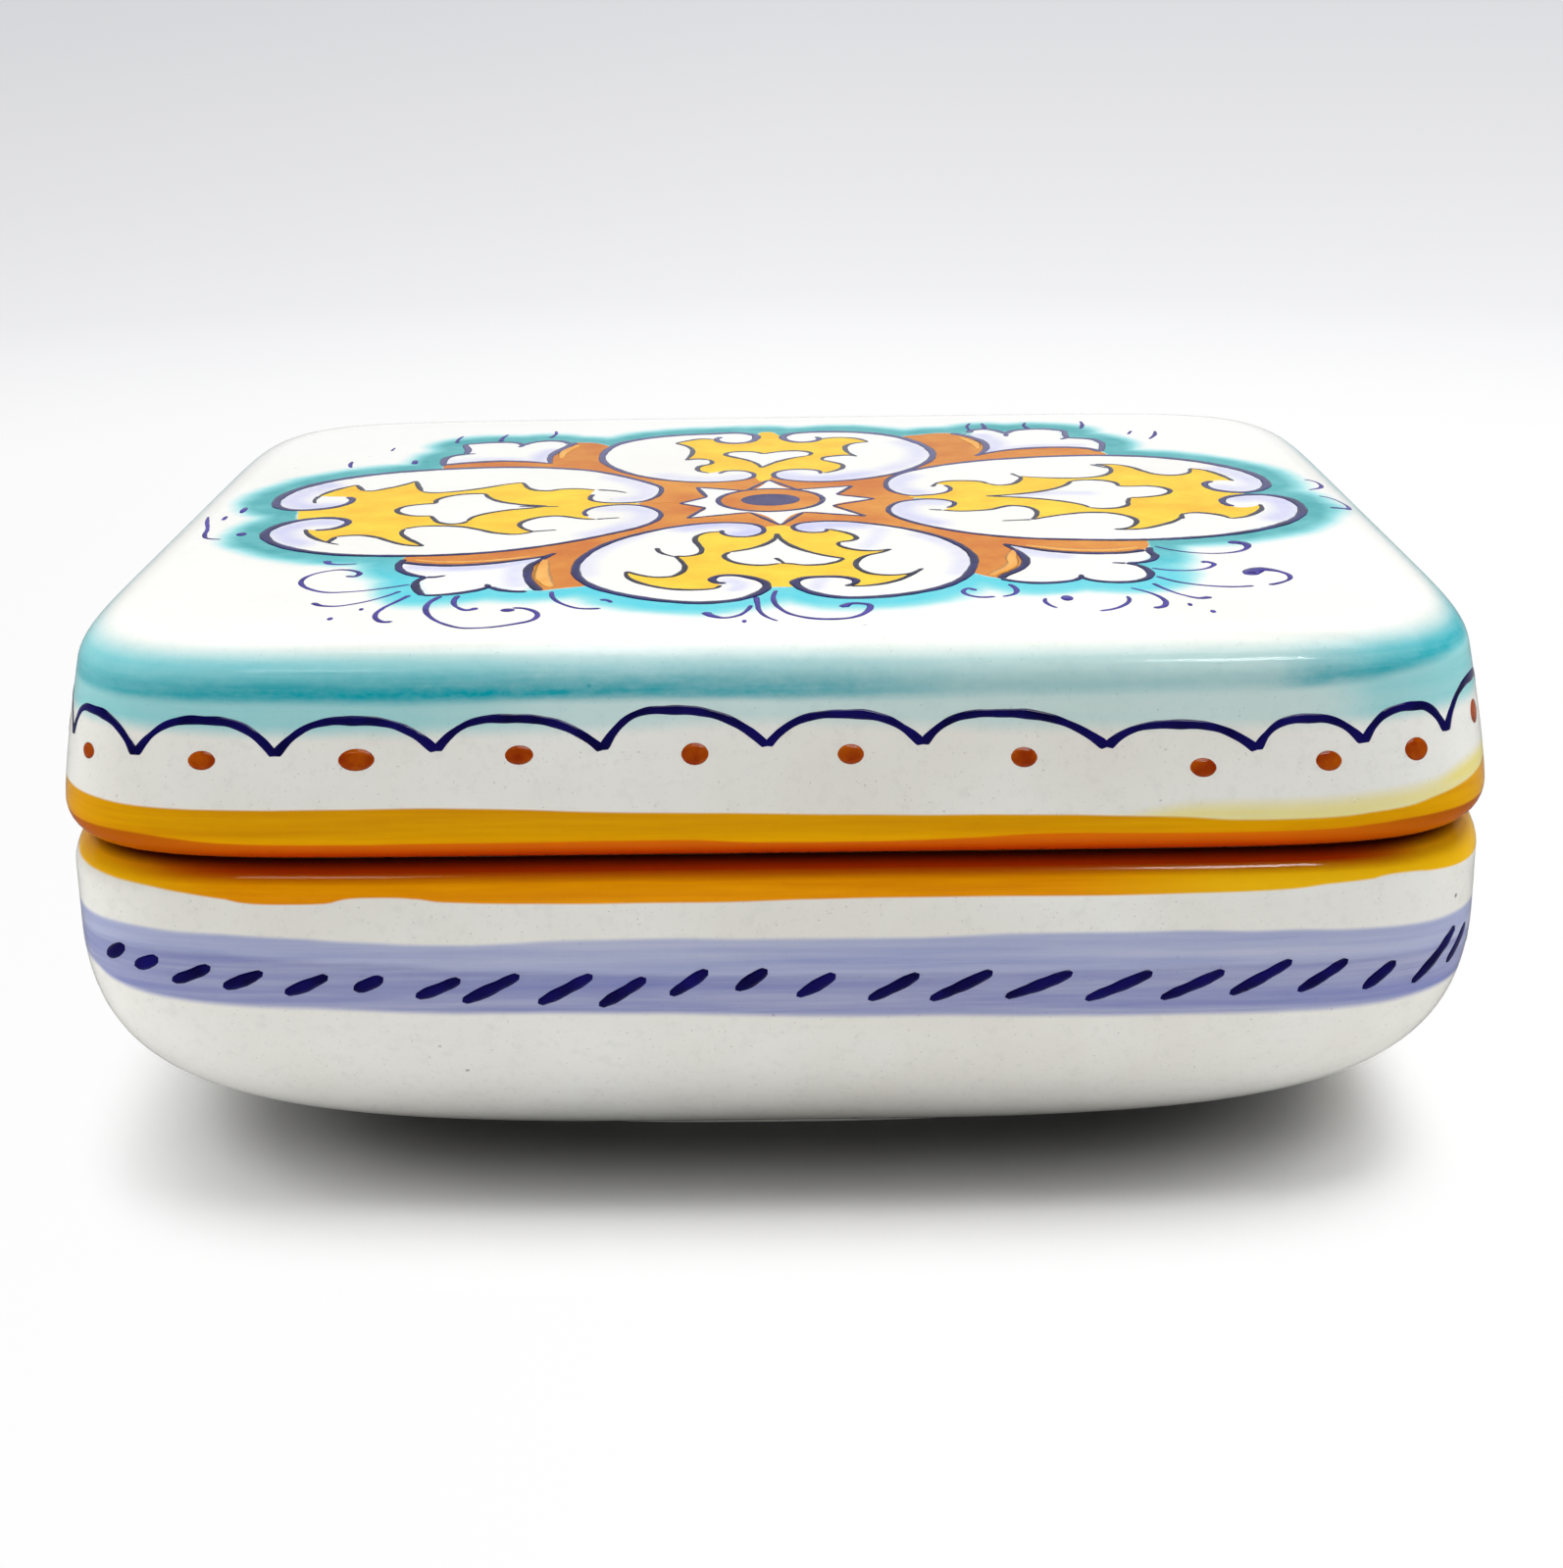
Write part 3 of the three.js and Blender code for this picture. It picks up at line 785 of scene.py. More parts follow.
# Each leaf has two sides, which start at its neck beside the star. The first and last run of a
# side follow the curls of the lobe. Its hollows are left bare.
leaves = {
    "front": {
        "sides": [
            [[(-0.7, -11.8), (-1.1, -13.2), (-1.5, -15.4), (-3, -16.9), (-4.8, -16.6), (-5.9, -14.2)],
             [(-7.6, -14.6), (-8.7, -16.2), (-8.9, -18.4), (-8.4, -20.8), (-8, -23), (-8.3, -25), (-9.6, -26),
              (-10.9, -25.8)],
             [(-10.1, -28.3), (-9.6, -31), (-9.9, -33.4), (-11, -35.2), (-12.6, -35.4), (-14.3, -34.4),
              (-15.9, -32.6)],
             [(-15.8, -34.6), (-14.9, -36.8), (-13, -39), (-10.6, -40.6), (-8, -41), (-6, -40.4),
              (-5.5, -39.2)],
             [(-6.4, -37.6), (-6.6, -36.2), (-5.6, -35), (-4.2, -34.8), (-2.4, -35.9), (-0.8, -37.9),
              (-0.5, -40.2)]],
            [[(1.2, -11.2), (2.4, -12.6), (3.1, -14.4), (4.6, -15.2), (5.9, -14.9), (6.4, -13.5)],
             [(7.2, -14.2), (8.4, -15.4), (9.4, -17.2), (9.5, -18.6), (8.7, -19.6), (7.6, -19.9)],
             [(7.4, -21.2), (8.1, -22.8), (9.6, -24.1), (11.4, -24.5), (13.3, -23.7)],
             [(12.1, -25.3), (10.5, -26.6), (9.5, -28.5), (9.1, -30.8), (9.5, -33), (10.7, -35),
              (12.6, -35.7), (14.6, -35.2), (16.3, -32.8)],
             [(14.9, -35.6), (13.5, -37.8), (11.5, -39.5), (9.6, -40.2), (8.3, -40.2)],
             [(9, -38.2), (7.8, -36.3), (5.6, -35.9), (3.4, -36.4), (2.4, -38), (2.2, -40.2)]]],
        "hollow": [
            [(0.4, -15.4), (0.2, -18), (-0.8, -20.6), (-2.7, -22.9), (-4.8, -24.2)],
            [(-5.4, -25.8), (-4.8, -28.2), (-3.2, -30), (-1, -30.6), (0.8, -29.8)],
            [(1.6, -29.9), (3.4, -30.7), (5.6, -30.5), (7.2, -29.2), (7.9, -27.9)],
            [(6, -26.6), (3.8, -24.3), (2, -21.4), (1, -18.6), (0.4, -15.4)]],
    },
    "left": {
        "sides": [
            [[(-15.8, 1.5), (-18.5, 2), (-21.2, 2.8), (-22.6, 4.8), (-22.7, 7), (-22.3, 9.5)],
             [(-24.5, 10.4), (-26.5, 10.3), (-28.2, 9.4), (-29.8, 9.9), (-30.9, 11.5), (-31.5, 13.5),
              (-31.9, 14.6)],
             [(-33.5, 13.8), (-36.5, 11.5), (-40, 9.6), (-43, 9.2), (-44, 9.9)],
             [(-45.1, 14), (-45.6, 16.3)],
             [(-46.8, 14.2), (-48.8, 12), (-50.6, 10.6), (-51.5, 10.8)],
             [(-52.6, 13.6), (-52.9, 14.4)],
             [(-54.2, 12.8), (-55.6, 10.6), (-56.5, 8)],
             [(-54.6, 7.6), (-53.2, 7.4), (-52.1, 6), (-52.1, 3.8), (-53.4, 1.6), (-55.6, 0.4),
              (-57.6, -0.2)]],
            [[(-16, 1), (-18.5, 0.9), (-20.8, 0.3), (-22.3, -1.4), (-22.7, -3.6), (-22.2, -5.6), (-21, -6.9)],
             [(-22.6, -6.6), (-24.2, -5.6), (-25.6, -4.9), (-27.4, -5.2), (-29.2, -6.9), (-29.9, -9),
              (-29.3, -11.2), (-27.9, -13)],
             [(-29.6, -14.2), (-32, -13.6), (-34.4, -11.6), (-36.6, -10), (-39.2, -9.4), (-42, -9.8),
              (-43.2, -10.8)],
             [(-43.3, -12.8), (-42.2, -15.6), (-40.6, -18.2), (-39.8, -19.6)],
             [(-41.8, -19), (-44.2, -16.8), (-46, -14.8), (-47.8, -13.8), (-49.6, -13.9), (-50.7, -14.4)],
             [(-50.9, -15.9), (-51.2, -17.2)],
             [(-52.9, -15.2), (-54.3, -12.6), (-54.9, -10.4)],
             [(-53.6, -10.9), (-51.9, -10.5), (-50.6, -8.8), (-50.4, -6.8), (-51.5, -5), (-53.6, -4.3),
              (-55.6, -4.8), (-56.8, -5.4)]]],
        "hollow": [
            [(-27.5, 0.7), (-31, 1.8), (-33.6, 3.6), (-35, 5.6), (-35.9, 8.2)],
            [(-38.5, 8), (-40.4, 6.8), (-41.5, 4.8), (-41.3, 2.9)],
            [(-43, 2.5), (-44.9, 1.4), (-45.6, -0.6), (-44.8, -2.6), (-43, -3.9), (-41, -4)],
            [(-40.4, -5.8), (-39.6, -7.6), (-38.2, -8.5), (-36.9, -8.2), (-36.3, -7)],
            [(-35.8, -4.8), (-34.2, -2.8), (-31.8, -1.2), (-29, -0.2), (-27.5, 0.7)]],
    },
    "right": {
        "sides": [
            [[(16.5, 3.6), (17.6, 4.1), (19.6, 4.4), (21.3, 5.7), (22, 7.6), (21.3, 10), (20.3, 11)],
             [(21.8, 12.2), (24, 12.4), (26, 11.8), (26.9, 10.4)],
             [(28.2, 9.4), (29.8, 10), (30.8, 11.8), (31.3, 13.6), (31.2, 14.6)],
             [(33.5, 13.8), (36.5, 13.2), (39.5, 13.3), (41.5, 14.2), (42.8, 16), (43.3, 18.2),
              (42.9, 20.4), (41.6, 21.6)],
             [(44.6, 21), (46.2, 19.2), (47.2, 17), (48.6, 14.9), (50.6, 14.1), (52.4, 15), (53.4, 18.2)],
             [(54.9, 17.2), (56.2, 15), (57, 12.6), (57.6, 10.2)],
             [(56, 10.8), (54.4, 9.8), (53.7, 8), (54, 6), (55.4, 4.4), (57.8, 3.4)]],
            [[(17.5, 2.6), (19, 2.3), (21, 1.6), (22, 0), (21.8, -1.8), (21, -3.4), (20.3, -4.3)],
             [(22, -4.9), (24.2, -4.8), (26.4, -4), (27.2, -3.2), (28.6, -2.3), (30.3, -2.9), (31.3, -4.8),
              (31.3, -7), (30.4, -9.9)],
             [(32.4, -8.6), (34.8, -7.3), (37.4, -6.5), (39.8, -6.9), (41.6, -8.4), (42.5, -10.4),
              (42.2, -12.8), (41, -14.8), (39.3, -15.5)],
             [(42.6, -15.3), (45, -13.6), (46.9, -11.6), (47.9, -9.8), (48.2, -8.2)],
             [(50, -7.3), (51.6, -7.9), (52.9, -9), (53.6, -10.6)],
             [(55.2, -10), (57, -8), (58.2, -5.6), (58.4, -3.2)],
             [(57.2, -4.6), (55.6, -4.8), (54.4, -3.4), (54.2, -1.2), (55.2, 0.6), (57, 1.9)]]],
        "hollow": [
            [(26, 3.2), (29.5, 4), (32.4, 5.2), (34.8, 7), (36.4, 9), (37.4, 11.4)],
            [(39, 11.9), (41.2, 11.6), (42.7, 10.2), (42.9, 8)],
            [(44.4, 7.8), (46.6, 7.9), (48.3, 6.8), (48.9, 4.9), (47.9, 2.9), (45.8, 1.7), (43.4, 1.3)],
            [(42.9, -0.8), (42.6, -2.8), (41.2, -4.2), (39.4, -4.5), (37.9, -3.9)],
            [(37.4, -2.6), (36, -1), (33.4, 0.8), (30.2, 2.2), (26, 3.2)]],
    },
    "back": {
        "sides": [
            [[(-1.8, 13.6), (-2.2, 15.4), (-2.6, 17.6), (-3.4, 19.6), (-5.2, 20.5), (-7, 19.8), (-8.3, 19)],
             [(-9.6, 20.4), (-9.9, 22), (-9.5, 23.6), (-8.4, 24.6), (-8.1, 26.4), (-8.6, 27.6)],
             [(-10.4, 28.2), (-11.6, 27.4)],
             [(-11.2, 29.6), (-10.9, 32), (-11, 34.6), (-11.9, 37.2), (-13.4, 39)],
             [(-11.6, 41), (-9.8, 42), (-8.2, 41.4)],
             [(-7.6, 39.6), (-5.8, 38.4), (-3.8, 39), (-2.8, 41), (-2.4, 43.6), (-1.8, 46.2)]],
            [[(-0.6, 13.8), (-0.3, 16), (0.2, 18.8), (1.4, 20.4), (3.6, 20.9), (5.4, 20.2), (6.4, 18.2)],
             [(7.8, 19.4), (8.9, 21.4), (8.9, 23.4), (7.6, 25.2), (6.4, 26.4)],
             [(6.6, 28.2), (8.2, 29.2), (10.2, 29.4), (11, 28.6)],
             [(10, 31), (9.6, 33.4), (9.8, 36), (10.8, 37.6), (12.8, 38.4)],
             [(11.4, 40.8), (9.2, 41.8), (7.2, 41.4), (6.2, 40.4)],
             [(5, 38.8), (3.2, 38.6), (1.8, 39.8), (1, 42), (0.4, 44.6), (-0.4, 46.4)]]],
        "hollow": [
            [(-1.6, 22), (-2.2, 24.6), (-3.6, 27.2), (-5.4, 29.2), (-6.4, 30.6), (-6.2, 32), (-4.6, 32.8),
             (-2.6, 32.4), (-1.4, 31)],
            [(0.2, 32.2), (2.4, 32.9), (4.2, 32.4), (5, 31), (4.4, 29.4)],
            [(2.4, 28), (0.6, 26), (-0.6, 24), (-1.6, 22)]],
    },
}

leafWhiskers = [
    [(-13.1, -21.9), (-12.5, -24.3), (-10.9, -26.2)], [(0.3, -27.2), (0.9, -28.8), (1.3, -29.8)],
    [(-22, 9.6), (-20, 9), (-18.2, 7.6)], [(-21, -6.9), (-18.2, -6.2)], [(-28.3, -13), (-25.2, -12.2)],
    [(-56.5, 8), (-56.7, 5.5), (-56.3, 3.8)], [(-54.6, -12), (-53, -15), (-51, -17.3), (-49.6, -18.4)],
    [(19.8, 9), (20.5, 11.3)], [(30.3, 16.5), (31.3, 14)], [(20.3, -4.3), (18.6, -3.8)],
    [(30.4, -9.9), (26.8, -10.4)], [(48, -10.5), (48.4, -7.6)], [(41, 21.5), (43, 19)],
    [(-31, 0.8), (-26, 0.2)],
]

leafOutlines, leafLines = [], []
for leaf in leaves.values():
    near, far = (chain(side) for side in leaf["sides"])
    hollow = chain(leaf["hollow"])
    turned = [run[::-1] for run in far[::-1]]
    leafOutlines.append(outlineOf(*near, [near[-1][-1], turned[0][0]], *turned, [turned[-1][-1], near[0][0]]))
    leafOutlines.append(outlineOf(*hollow)[:-1])
    for run in near[1:-1] + far[1:-1]:
        leafLines.append(stroke(run, 0.45, 0.7, 0.7, 0.5))
    for run in hollow:
        leafLines.append(stroke(run, 0.5, 0.75, 0.55))
leafLines += [stroke(line, 0.65, 0.4) for line in leafWhiskers]

star = [
    (-0.6, 14.3), (2.9, 8.4), (9.9, 10.2), (7.8, 5.2), (12.4, 2.6), (7.2, -1), (11, -7), (3.6, -4.4),
    (0.9, -11.2), (-2.8, -4.2), (-10.2, -7), (-8.2, -1.4), (-11.4, 1.2), (-8.2, 4.6), (-9.6, 10.4),
    (-3.4, 8)]
eye = {"centre": (-0.35, 2.6), "outline": 6.4, "ring": 6.1, "disc": 3.6}

# In each corner two ribbons run out beside the lobes, with a palmette between them. A ribbon's
# points start where the two meet; the palmette's runs go from one ribbon's end to the other's.
corners = {
    "front left": {
        "ribbons": [
            [(-24.4, -23.7), (-25.6, -26.5), (-26.6, -29.2), (-26.7, -32), (-26.4, -35), (-25.6, -38),
             (-24.6, -40.6)],
            [(-24.4, -23.7), (-25.6, -25.3), (-27.4, -26.4), (-30, -27.7), (-33, -28.7), (-36, -28.9),
             (-39, -28.2), (-41, -27.2)]],
        "palmette": [
            [(-41, -25.8), (-41.3, -28.6), (-40.6, -31.2), (-39.2, -33), (-37.6, -34.1)],
            [(-38.3, -36.2), (-38, -38.6), (-37.3, -40.8), (-36.8, -42)],
            [(-34.8, -41.8), (-32.6, -40.9), (-30.9, -39.6), (-30.2, -38.6)],
            [(-28.6, -40.2), (-27, -40.8), (-25.9, -40.8)]],
        "hooks": [[(-37.6, -34.1), (-36.6, -34.1), (-35.5, -33.4)], [(-30.2, -38.8), (-30.6, -37.4)]],
    },
    "front right": {
        "ribbons": [
            [(26, -21.9), (26.9, -24.5), (27.6, -27.2), (27.8, -29.8), (27.4, -32.2), (26.2, -34.6),
             (24.8, -36.6), (24.4, -37.8)],
            [(26, -21.9), (28.4, -23.8), (30.8, -25.5), (33.6, -26.6), (36.6, -27), (39.4, -26.7),
             (41.4, -25.6)]],
        "palmette": [
            [(42.2, -24.4), (41.9, -26.5), (42.2, -28.4), (41.6, -30.3), (40.2, -31.4), (38.6, -31.7)],
            [(39.9, -33), (40.5, -35), (40.5, -37), (39.8, -38.6), (38.4, -39.7), (36.8, -40),
             (35, -39.6), (33.6, -38.6), (33, -37.6)],
            [(32.2, -38.8), (30.6, -39.6), (28.8, -39.9), (27, -39.6), (25.6, -38.9), (24.4, -37.9)]],
        "hooks": [[(38.6, -31.7), (37, -31.4)], [(33, -37.8), (33.1, -36.4)]],
    },
    "back left": {
        "ribbons": [
            [(-29.3, 26.4), (-29.7, 29), (-29.7, 32), (-29, 35), (-28, 38), (-27.2, 40.5)],
            [(-29.3, 26.4), (-32.5, 27.8), (-36, 28.4), (-40, 27.7), (-43.2, 26.4)]],
        "palmette": [
            [(-43.3, 25.6), (-43.7, 28.4), (-43.6, 31), (-42.6, 32.6), (-41.4, 33.4)],
            [(-41.3, 35.6), (-41.8, 38), (-42.3, 40)],
            [(-40, 41), (-37.6, 41.4), (-35, 40.6), (-34.2, 39)],
            [(-33, 41), (-30.6, 42), (-28.6, 41), (-28, 39.5)]],
        "hooks": [[(-41.4, 33.4), (-40, 33.6)], [(-34.2, 39.2), (-34.6, 37.6)]],
    },
    "back right": {
        "ribbons": [
            [(26.6, 28), (28, 31), (28.6, 34.5), (28.2, 38), (26.8, 41.2), (24.5, 43.8)],
            [(26.6, 28), (30, 31), (34, 32.7), (38.5, 33.1), (42, 32), (43.4, 29.8)]],
        "palmette": [
            [(43.4, 30), (44, 33), (44.2, 36), (43.2, 38.4), (41.4, 39.2), (40, 39.6)],
            [(40, 42), (40, 44.5), (38, 46), (35, 46), (33, 45), (32, 43)],
            [(31, 45), (29.5, 46.5), (27.6, 46), (27, 44)]],
        "hooks": [[(40, 39.6), (39, 38.4)], [(32, 43), (31.8, 41)]],
    },
}

# The orange ground between the lobes, one outline for each corner. The necks of the side leaves
# cover the narrow gaps between the front two and the back two.
gaps = {"left": [(-11.3, 1.5), (-16.2, 1.5)], "right": [(17, 3.1), (12.3, 2.9)]}
grounds = [
    outlineOf(star[12:7:-1], [star[8]] + lobeEdges["front left"][5:16] + [(-19.8, -38.8)],
              [(-19.8, -38.8), (-22.2, -39.6), (-24.6, -40.6)], corners["front left"]["ribbons"][0][::-1],
              corners["front left"]["ribbons"][1] + [(-41, -24.4)],
              [(-41, -24.4)] + lobeEdges["left front"][14:4:-1] + [(-16.2, 1.2)], [(-16.2, 1.2), star[12]]),
    outlineOf(star[8:3:-1], [star[4], (17, 2.7)], [(17, 2.7)] + lobeEdges["right front"][5:16] + [(42.3, -21.2)],
              [(42.3, -21.2), (42.2, -23.4), (41.4, -25.6)], corners["front right"]["ribbons"][1][::-1],
              corners["front right"]["ribbons"][0], [(24.4, -37.8), (23, -36.6), (21.6, -35)],
              [(21.6, -35)] + lobeEdges["front right"][12:3:-1] + [star[8]]),
    outlineOf(gaps["right"][1:] + star[3::-1], [star[0]] + lobeEdges["back right"][5:18] + [(20, 43)],
              [(20, 43), (22.2, 43.9), (24.5, 43.8)], corners["back right"]["ribbons"][0][::-1],
              corners["back right"]["ribbons"][1], [(43.4, 29.8), (43.8, 28.6), (44, 27.2)],
              lobeEdges["right back"][16:4:-1] + gaps["right"][:1], gaps["right"]),
    outlineOf([star[0]] + star[:12:-1] + gaps["left"][:1], gaps["left"], gaps["left"][1:] + lobeEdges["left back"][5:17],
              [(-43, 23.5), (-43.3, 25), (-43.2, 26.4)], corners["back left"]["ribbons"][1][::-1],
              corners["back left"]["ribbons"][0], [(-27.2, 40.5), (-24.5, 40), (-22.4, 37.6)],
              [(-22.4, 37.6)] + lobeEdges["back left"][14:3:-1] + [star[0]]),
]


def inside(points, outline):
    # Which points lie inside a closed outline
    x, y = points[:, :1], points[:, 1:2]
    startX, startY = outline[:, 0], outline[:, 1]
    endX, endY = np.roll(startX, -1), np.roll(startY, -1)
    crosses = (startY > y) != (endY > y)
    slope = np.where(endY == startY, 1e-9, endY - startY)
    return (crosses & (x < startX + (endX - startX) * (y - startY) / slope)).sum(1) % 2 == 1


def reachTo(points, line, closed=False):
    # Distance from each point to a line
    start = line if closed else line[:-1]
    end = np.roll(line, -1, axis=0) if closed else line[1:]
    side = end - start
    nearest = np.full(len(points), 1e9)
    for a, s in zip(start, side):
        away = points - a
        share = np.clip((away @ s) / max(s @ s, 1e-9), 0, 1)
        nearest = np.minimum(nearest, np.hypot(*(away - share[:, None] * s).T))
    return nearest


def hull(line):
    return np.array([line[i] for i in convex_hull_2d([tuple(p) for p in line])])


def haloReach(points):
    # How far outside the painted lobes and palmettes each point lies, 0 inside them
    shapes = [hull(through(edge, 1.5)) for edge in lobeEdges.values()]
    shapes += [outline[::3] for outline in grounds + leafOutlines[::2]]
    shapes.append(np.array(star, float))
    for corner in corners.values():
        palmette = [through(run, 1.5) for run in chain(corner["palmette"])]
        shapes.append(np.vstack(palmette + [[corner["ribbons"][0][0]]]))
    nearest = np.full(len(points), 1e9)
    for shape in shapes:
        nearest = np.minimum(nearest, np.where(inside(points, shape), 0, reachTo(points, shape, True)))
    return nearest


# Soft strokes of lavender in the lobes and palmettes: a width, a strength and a line
lavenderStrokes = [
    (5, 1.0, [(-10, -12), (-7, -10.6), (-4, -10.8), (-2.2, -12.6), (-2.6, -14.8), (-4, -15.6)]),
    (3, 0.5, [(-15.5, -15.5), (-18.5, -20.5), (-20.4, -27), (-20.2, -34)]),
    (2.4, 0.8, [(-4.6, -37.2), (-3.4, -38.8), (-3.8, -41)]),
    (5, 1.0, [(9.6, -11.4), (6.8, -11.4), (4.4, -11.2), (3.8, -13.4)]),
    (2.6, 0.5, [(12.6, -14), (11.8, -18), (10.4, -22.6)]),
    (3, 0.6, [(16.8, -16.6), (20.2, -23), (21, -29), (20, -35)]),
    (2.2, 0.6, [(5.4, -37), (4.8, -39), (4.6, -41)]),
    (4.5, 0.7, [(-19.5, -1), (-16.8, -1.4), (-15.2, -4), (-15.4, -7.4), (-17.8, -11.8), (-21, -15)]),
    (4, 0.6, [(-18.2, 3.6), (-15.8, 6), (-15.8, 9.6), (-17.4, 13.4), (-20.4, 17)]),
    (4.5, 0.9, [(-54, 2.4), (-57, 2), (-59.4, 4.8), (-59, 9), (-56.4, 14)]),
    (4.5, 0.9, [(-52.2, -7), (-54.6, -7), (-57, -9.4), (-57, -13.6), (-54.6, -17.6)]),
    (3, 0.6, [(-33, 4.6), (-30.6, 2.4), (-28.6, 0.8)]),
    (4.5, 0.8, [(20, 0.4), (16.8, 0), (15.4, -2.6), (15.8, -6.6), (18.8, -10.8)]),
    (4, 0.8, [(17.6, 5.8), (15.8, 8), (15.6, 12), (17, 15.6)]),
    (4.5, 0.9, [(56.4, 0), (58.6, 0.6), (61, -1.4), (61.2, -5.6), (59, -10.6)]),
    (4, 0.7, [(55.4, 7), (57.6, 5.4), (59.8, 8), (59.4, 12.6), (57, 17.6)]),
    (3, 0.6, [(31, 3.6), (35, 4.6), (38.6, 4.2)]),
    (5, 0.9, [(1.6, 17), (2.8, 15.4), (5.4, 14.8), (8.6, 15.6), (12, 17.8)]),
    (4, 0.5, [(-4.2, 16.6), (-6.4, 15.4), (-10, 15.6), (-14, 17.8)]),
    (4, 0.6, [(14.5, 20), (18, 25), (19.4, 31), (17.6, 38)]),
    (3, 0.9, [(-39.6, -29.6), (-36, -30.4), (-32, -30), (-28.6, -28.6), (-27, -27)]),
    (3, 0.7, [(-28, -30), (-28, -34), (-27.2, -38)]),
    (3.4, 0.9, [(27.4, -24.6), (29.4, -26.6), (32, -28)]),
    (3.4, 0.9, [(-31, 28.4), (-31, 31.6), (-30, 35)]),
    (3, 0.6, [(-34, 29.4), (-38.6, 29.6), (-42.2, 28.6)]),
    (3.4, 0.9, [(28.8, 31.4), (29.8, 34.6), (29.6, 38.4), (28.4, 42)]),
    (2.6, 0.6, [(32, 33.4), (36, 34.4), (41, 34.4)]),
]


def lavenderAmount(points):
    amount = np.zeros(len(points))
    for width, strength, line in lavenderStrokes:
        away = reachTo(points, through(line, 1.0)) / (width / 2)
        amount = np.maximum(amount, strength * np.clip(1.25 - away, 0, 1))
    return amount


lidInside, lidOutside = lidSection()
lidRings = ringsOf(lidInside + lidOutside)
lidRings += ringsToMiddle(lidRings[-1], lidSizes["topRings"])
glazedLid = throwShell("glazed_lid", lidRings)
places = vertexPlaces(glazedLid)
inset = insetOf(places[:, 0], places[:, 1])
outerHeights = np.array([height for _, height in lidOutside])
outerInsets = np.array([i for i, _ in lidOutside])
seat = lidOutside[0][1]
near = inset < np.interp(places[:, 2], outerHeights, outerInsets) + 0.4
onOutside = (near & (places[:, 2] > seat - 0.01)) | (places[:, 2] > lidSizes["top"] - 0.01)
bareFrom = lidSizes["lipEdge"] + baseSizes["glazeReach"] - 0.1
onSeat = (np.abs(places[:, 2] - seat) < 0.01) & (inset > bareFrom) & (inset < 8.2)
setAttribute(glazedLid, "outside", onOutside.astype(float))
setAttribute(glazedLid, "bare", onSeat.astype(float))
onTop = places[:, 2] > lidSizes["top"] - 1.5
halo, lavender = np.full(len(places), 50.0), np.zeros(len(places))
halo[onTop] = haloReach(places[onTop, :2])
lavender[onTop] = lavenderAmount(places[onTop, :2])
setAttribute(glazedLid, "haloReach", halo)
setAttribute(glazedLid, "lavender", lavender)
glazedLid.data.materials.clear()
glazedLid.data.materials.append(lidGlaze())
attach(glazedLid, "lid")
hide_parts("lid")
print("lid thrown:", len(glazedLid.data.polygons), "faces")


def sectionTable(outside):
    return np.array([height for _, height in outside]), np.array([inset for inset, _ in outside])


lidHeights, lidInsets = sectionTable(lidOutside)
baseHeights, baseInsets = sectionTable(baseOutside)


def onLidTop(u, v, lift):
    # Flat in the middle; near the edge it follows the shoulder down
    rise = np.interp(-insetOf(u, v), -lidInsets[::-1], lidHeights[::-1])
    return np.stack((u, v, np.where(insetOf(u, v) > lidInsets[-1], lidSizes["top"], rise) + lift), 1)


def onWall(heights, insets):
    # u is the way round from the middle of the front, v the height
    def spot(u, v):
        x, y = outlineAt(u)
        inset = np.interp(v, heights, insets)
        return np.stack((x * (plan["halfLength"] - inset), y * (plan["halfWidth"] - inset), v), 1)

    def place(u, v, lift):
        across = spot(u + 0.05, v) - spot(u - 0.05, v)
        upward = spot(u, v + 0.05) - spot(u, v - 0.05)
        out = np.cross(across, upward)
        return spot(u, v) + out / np.linalg.norm(out, axis=1)[:, None] * lift[:, None]

    return place


onLidWall = onWall(lidHeights, lidInsets)
onBaseWall = onWall(baseHeights, baseInsets)


# the last colour of the navy and leaf lines is a painted reflection that pales them towards the back
navyLine = brushColour("navy line", paint(44, 44, 112), paint(16, 16, 62), 300, paint(132, 132, 174))
leafLine = brushColour("leaf line", paint(62, 62, 82), paint(24, 26, 50), 300, paint(122, 124, 142))
violetLine = brushColour("violet line", paint(78, 66, 168), paint(44, 30, 122), 300)
scallopBlue = brushColour("scallop blue", paint(20, 14, 96), paint(4, 2, 50), 200)
leafYellow = brushColour("leaf yellow", paint(252, 218, 46), paint(245, 186, 14), 130)
groundOrange = brushColour("ground orange", paint(226, 150, 46), paint(202, 106, 14), 120)
groundLight = brushColour("ground light", paint(246, 184, 88), paint(230, 154, 60), 200)
dabOrange = brushColour("dab orange", paint(182, 84, 4), paint(136, 32, 0), 420)
eyeViolet = brushColour("eye violet", paint(84, 78, 122), paint(60, 54, 100), 300)

paintAreas("rosette_ground", grounds, onLidTop, 0.004, "lid", groundOrange)
joins = [stroke([(-11.2, 1.35), (-16.6, 1.35)], 0.9, 0.9), stroke([(12.2, 2.75), (17.3, 2.9)], 0.9, 0.9)]
paintStrokes("ground_joins", joins, onLidTop, 0.004, "lid", groundOrange)

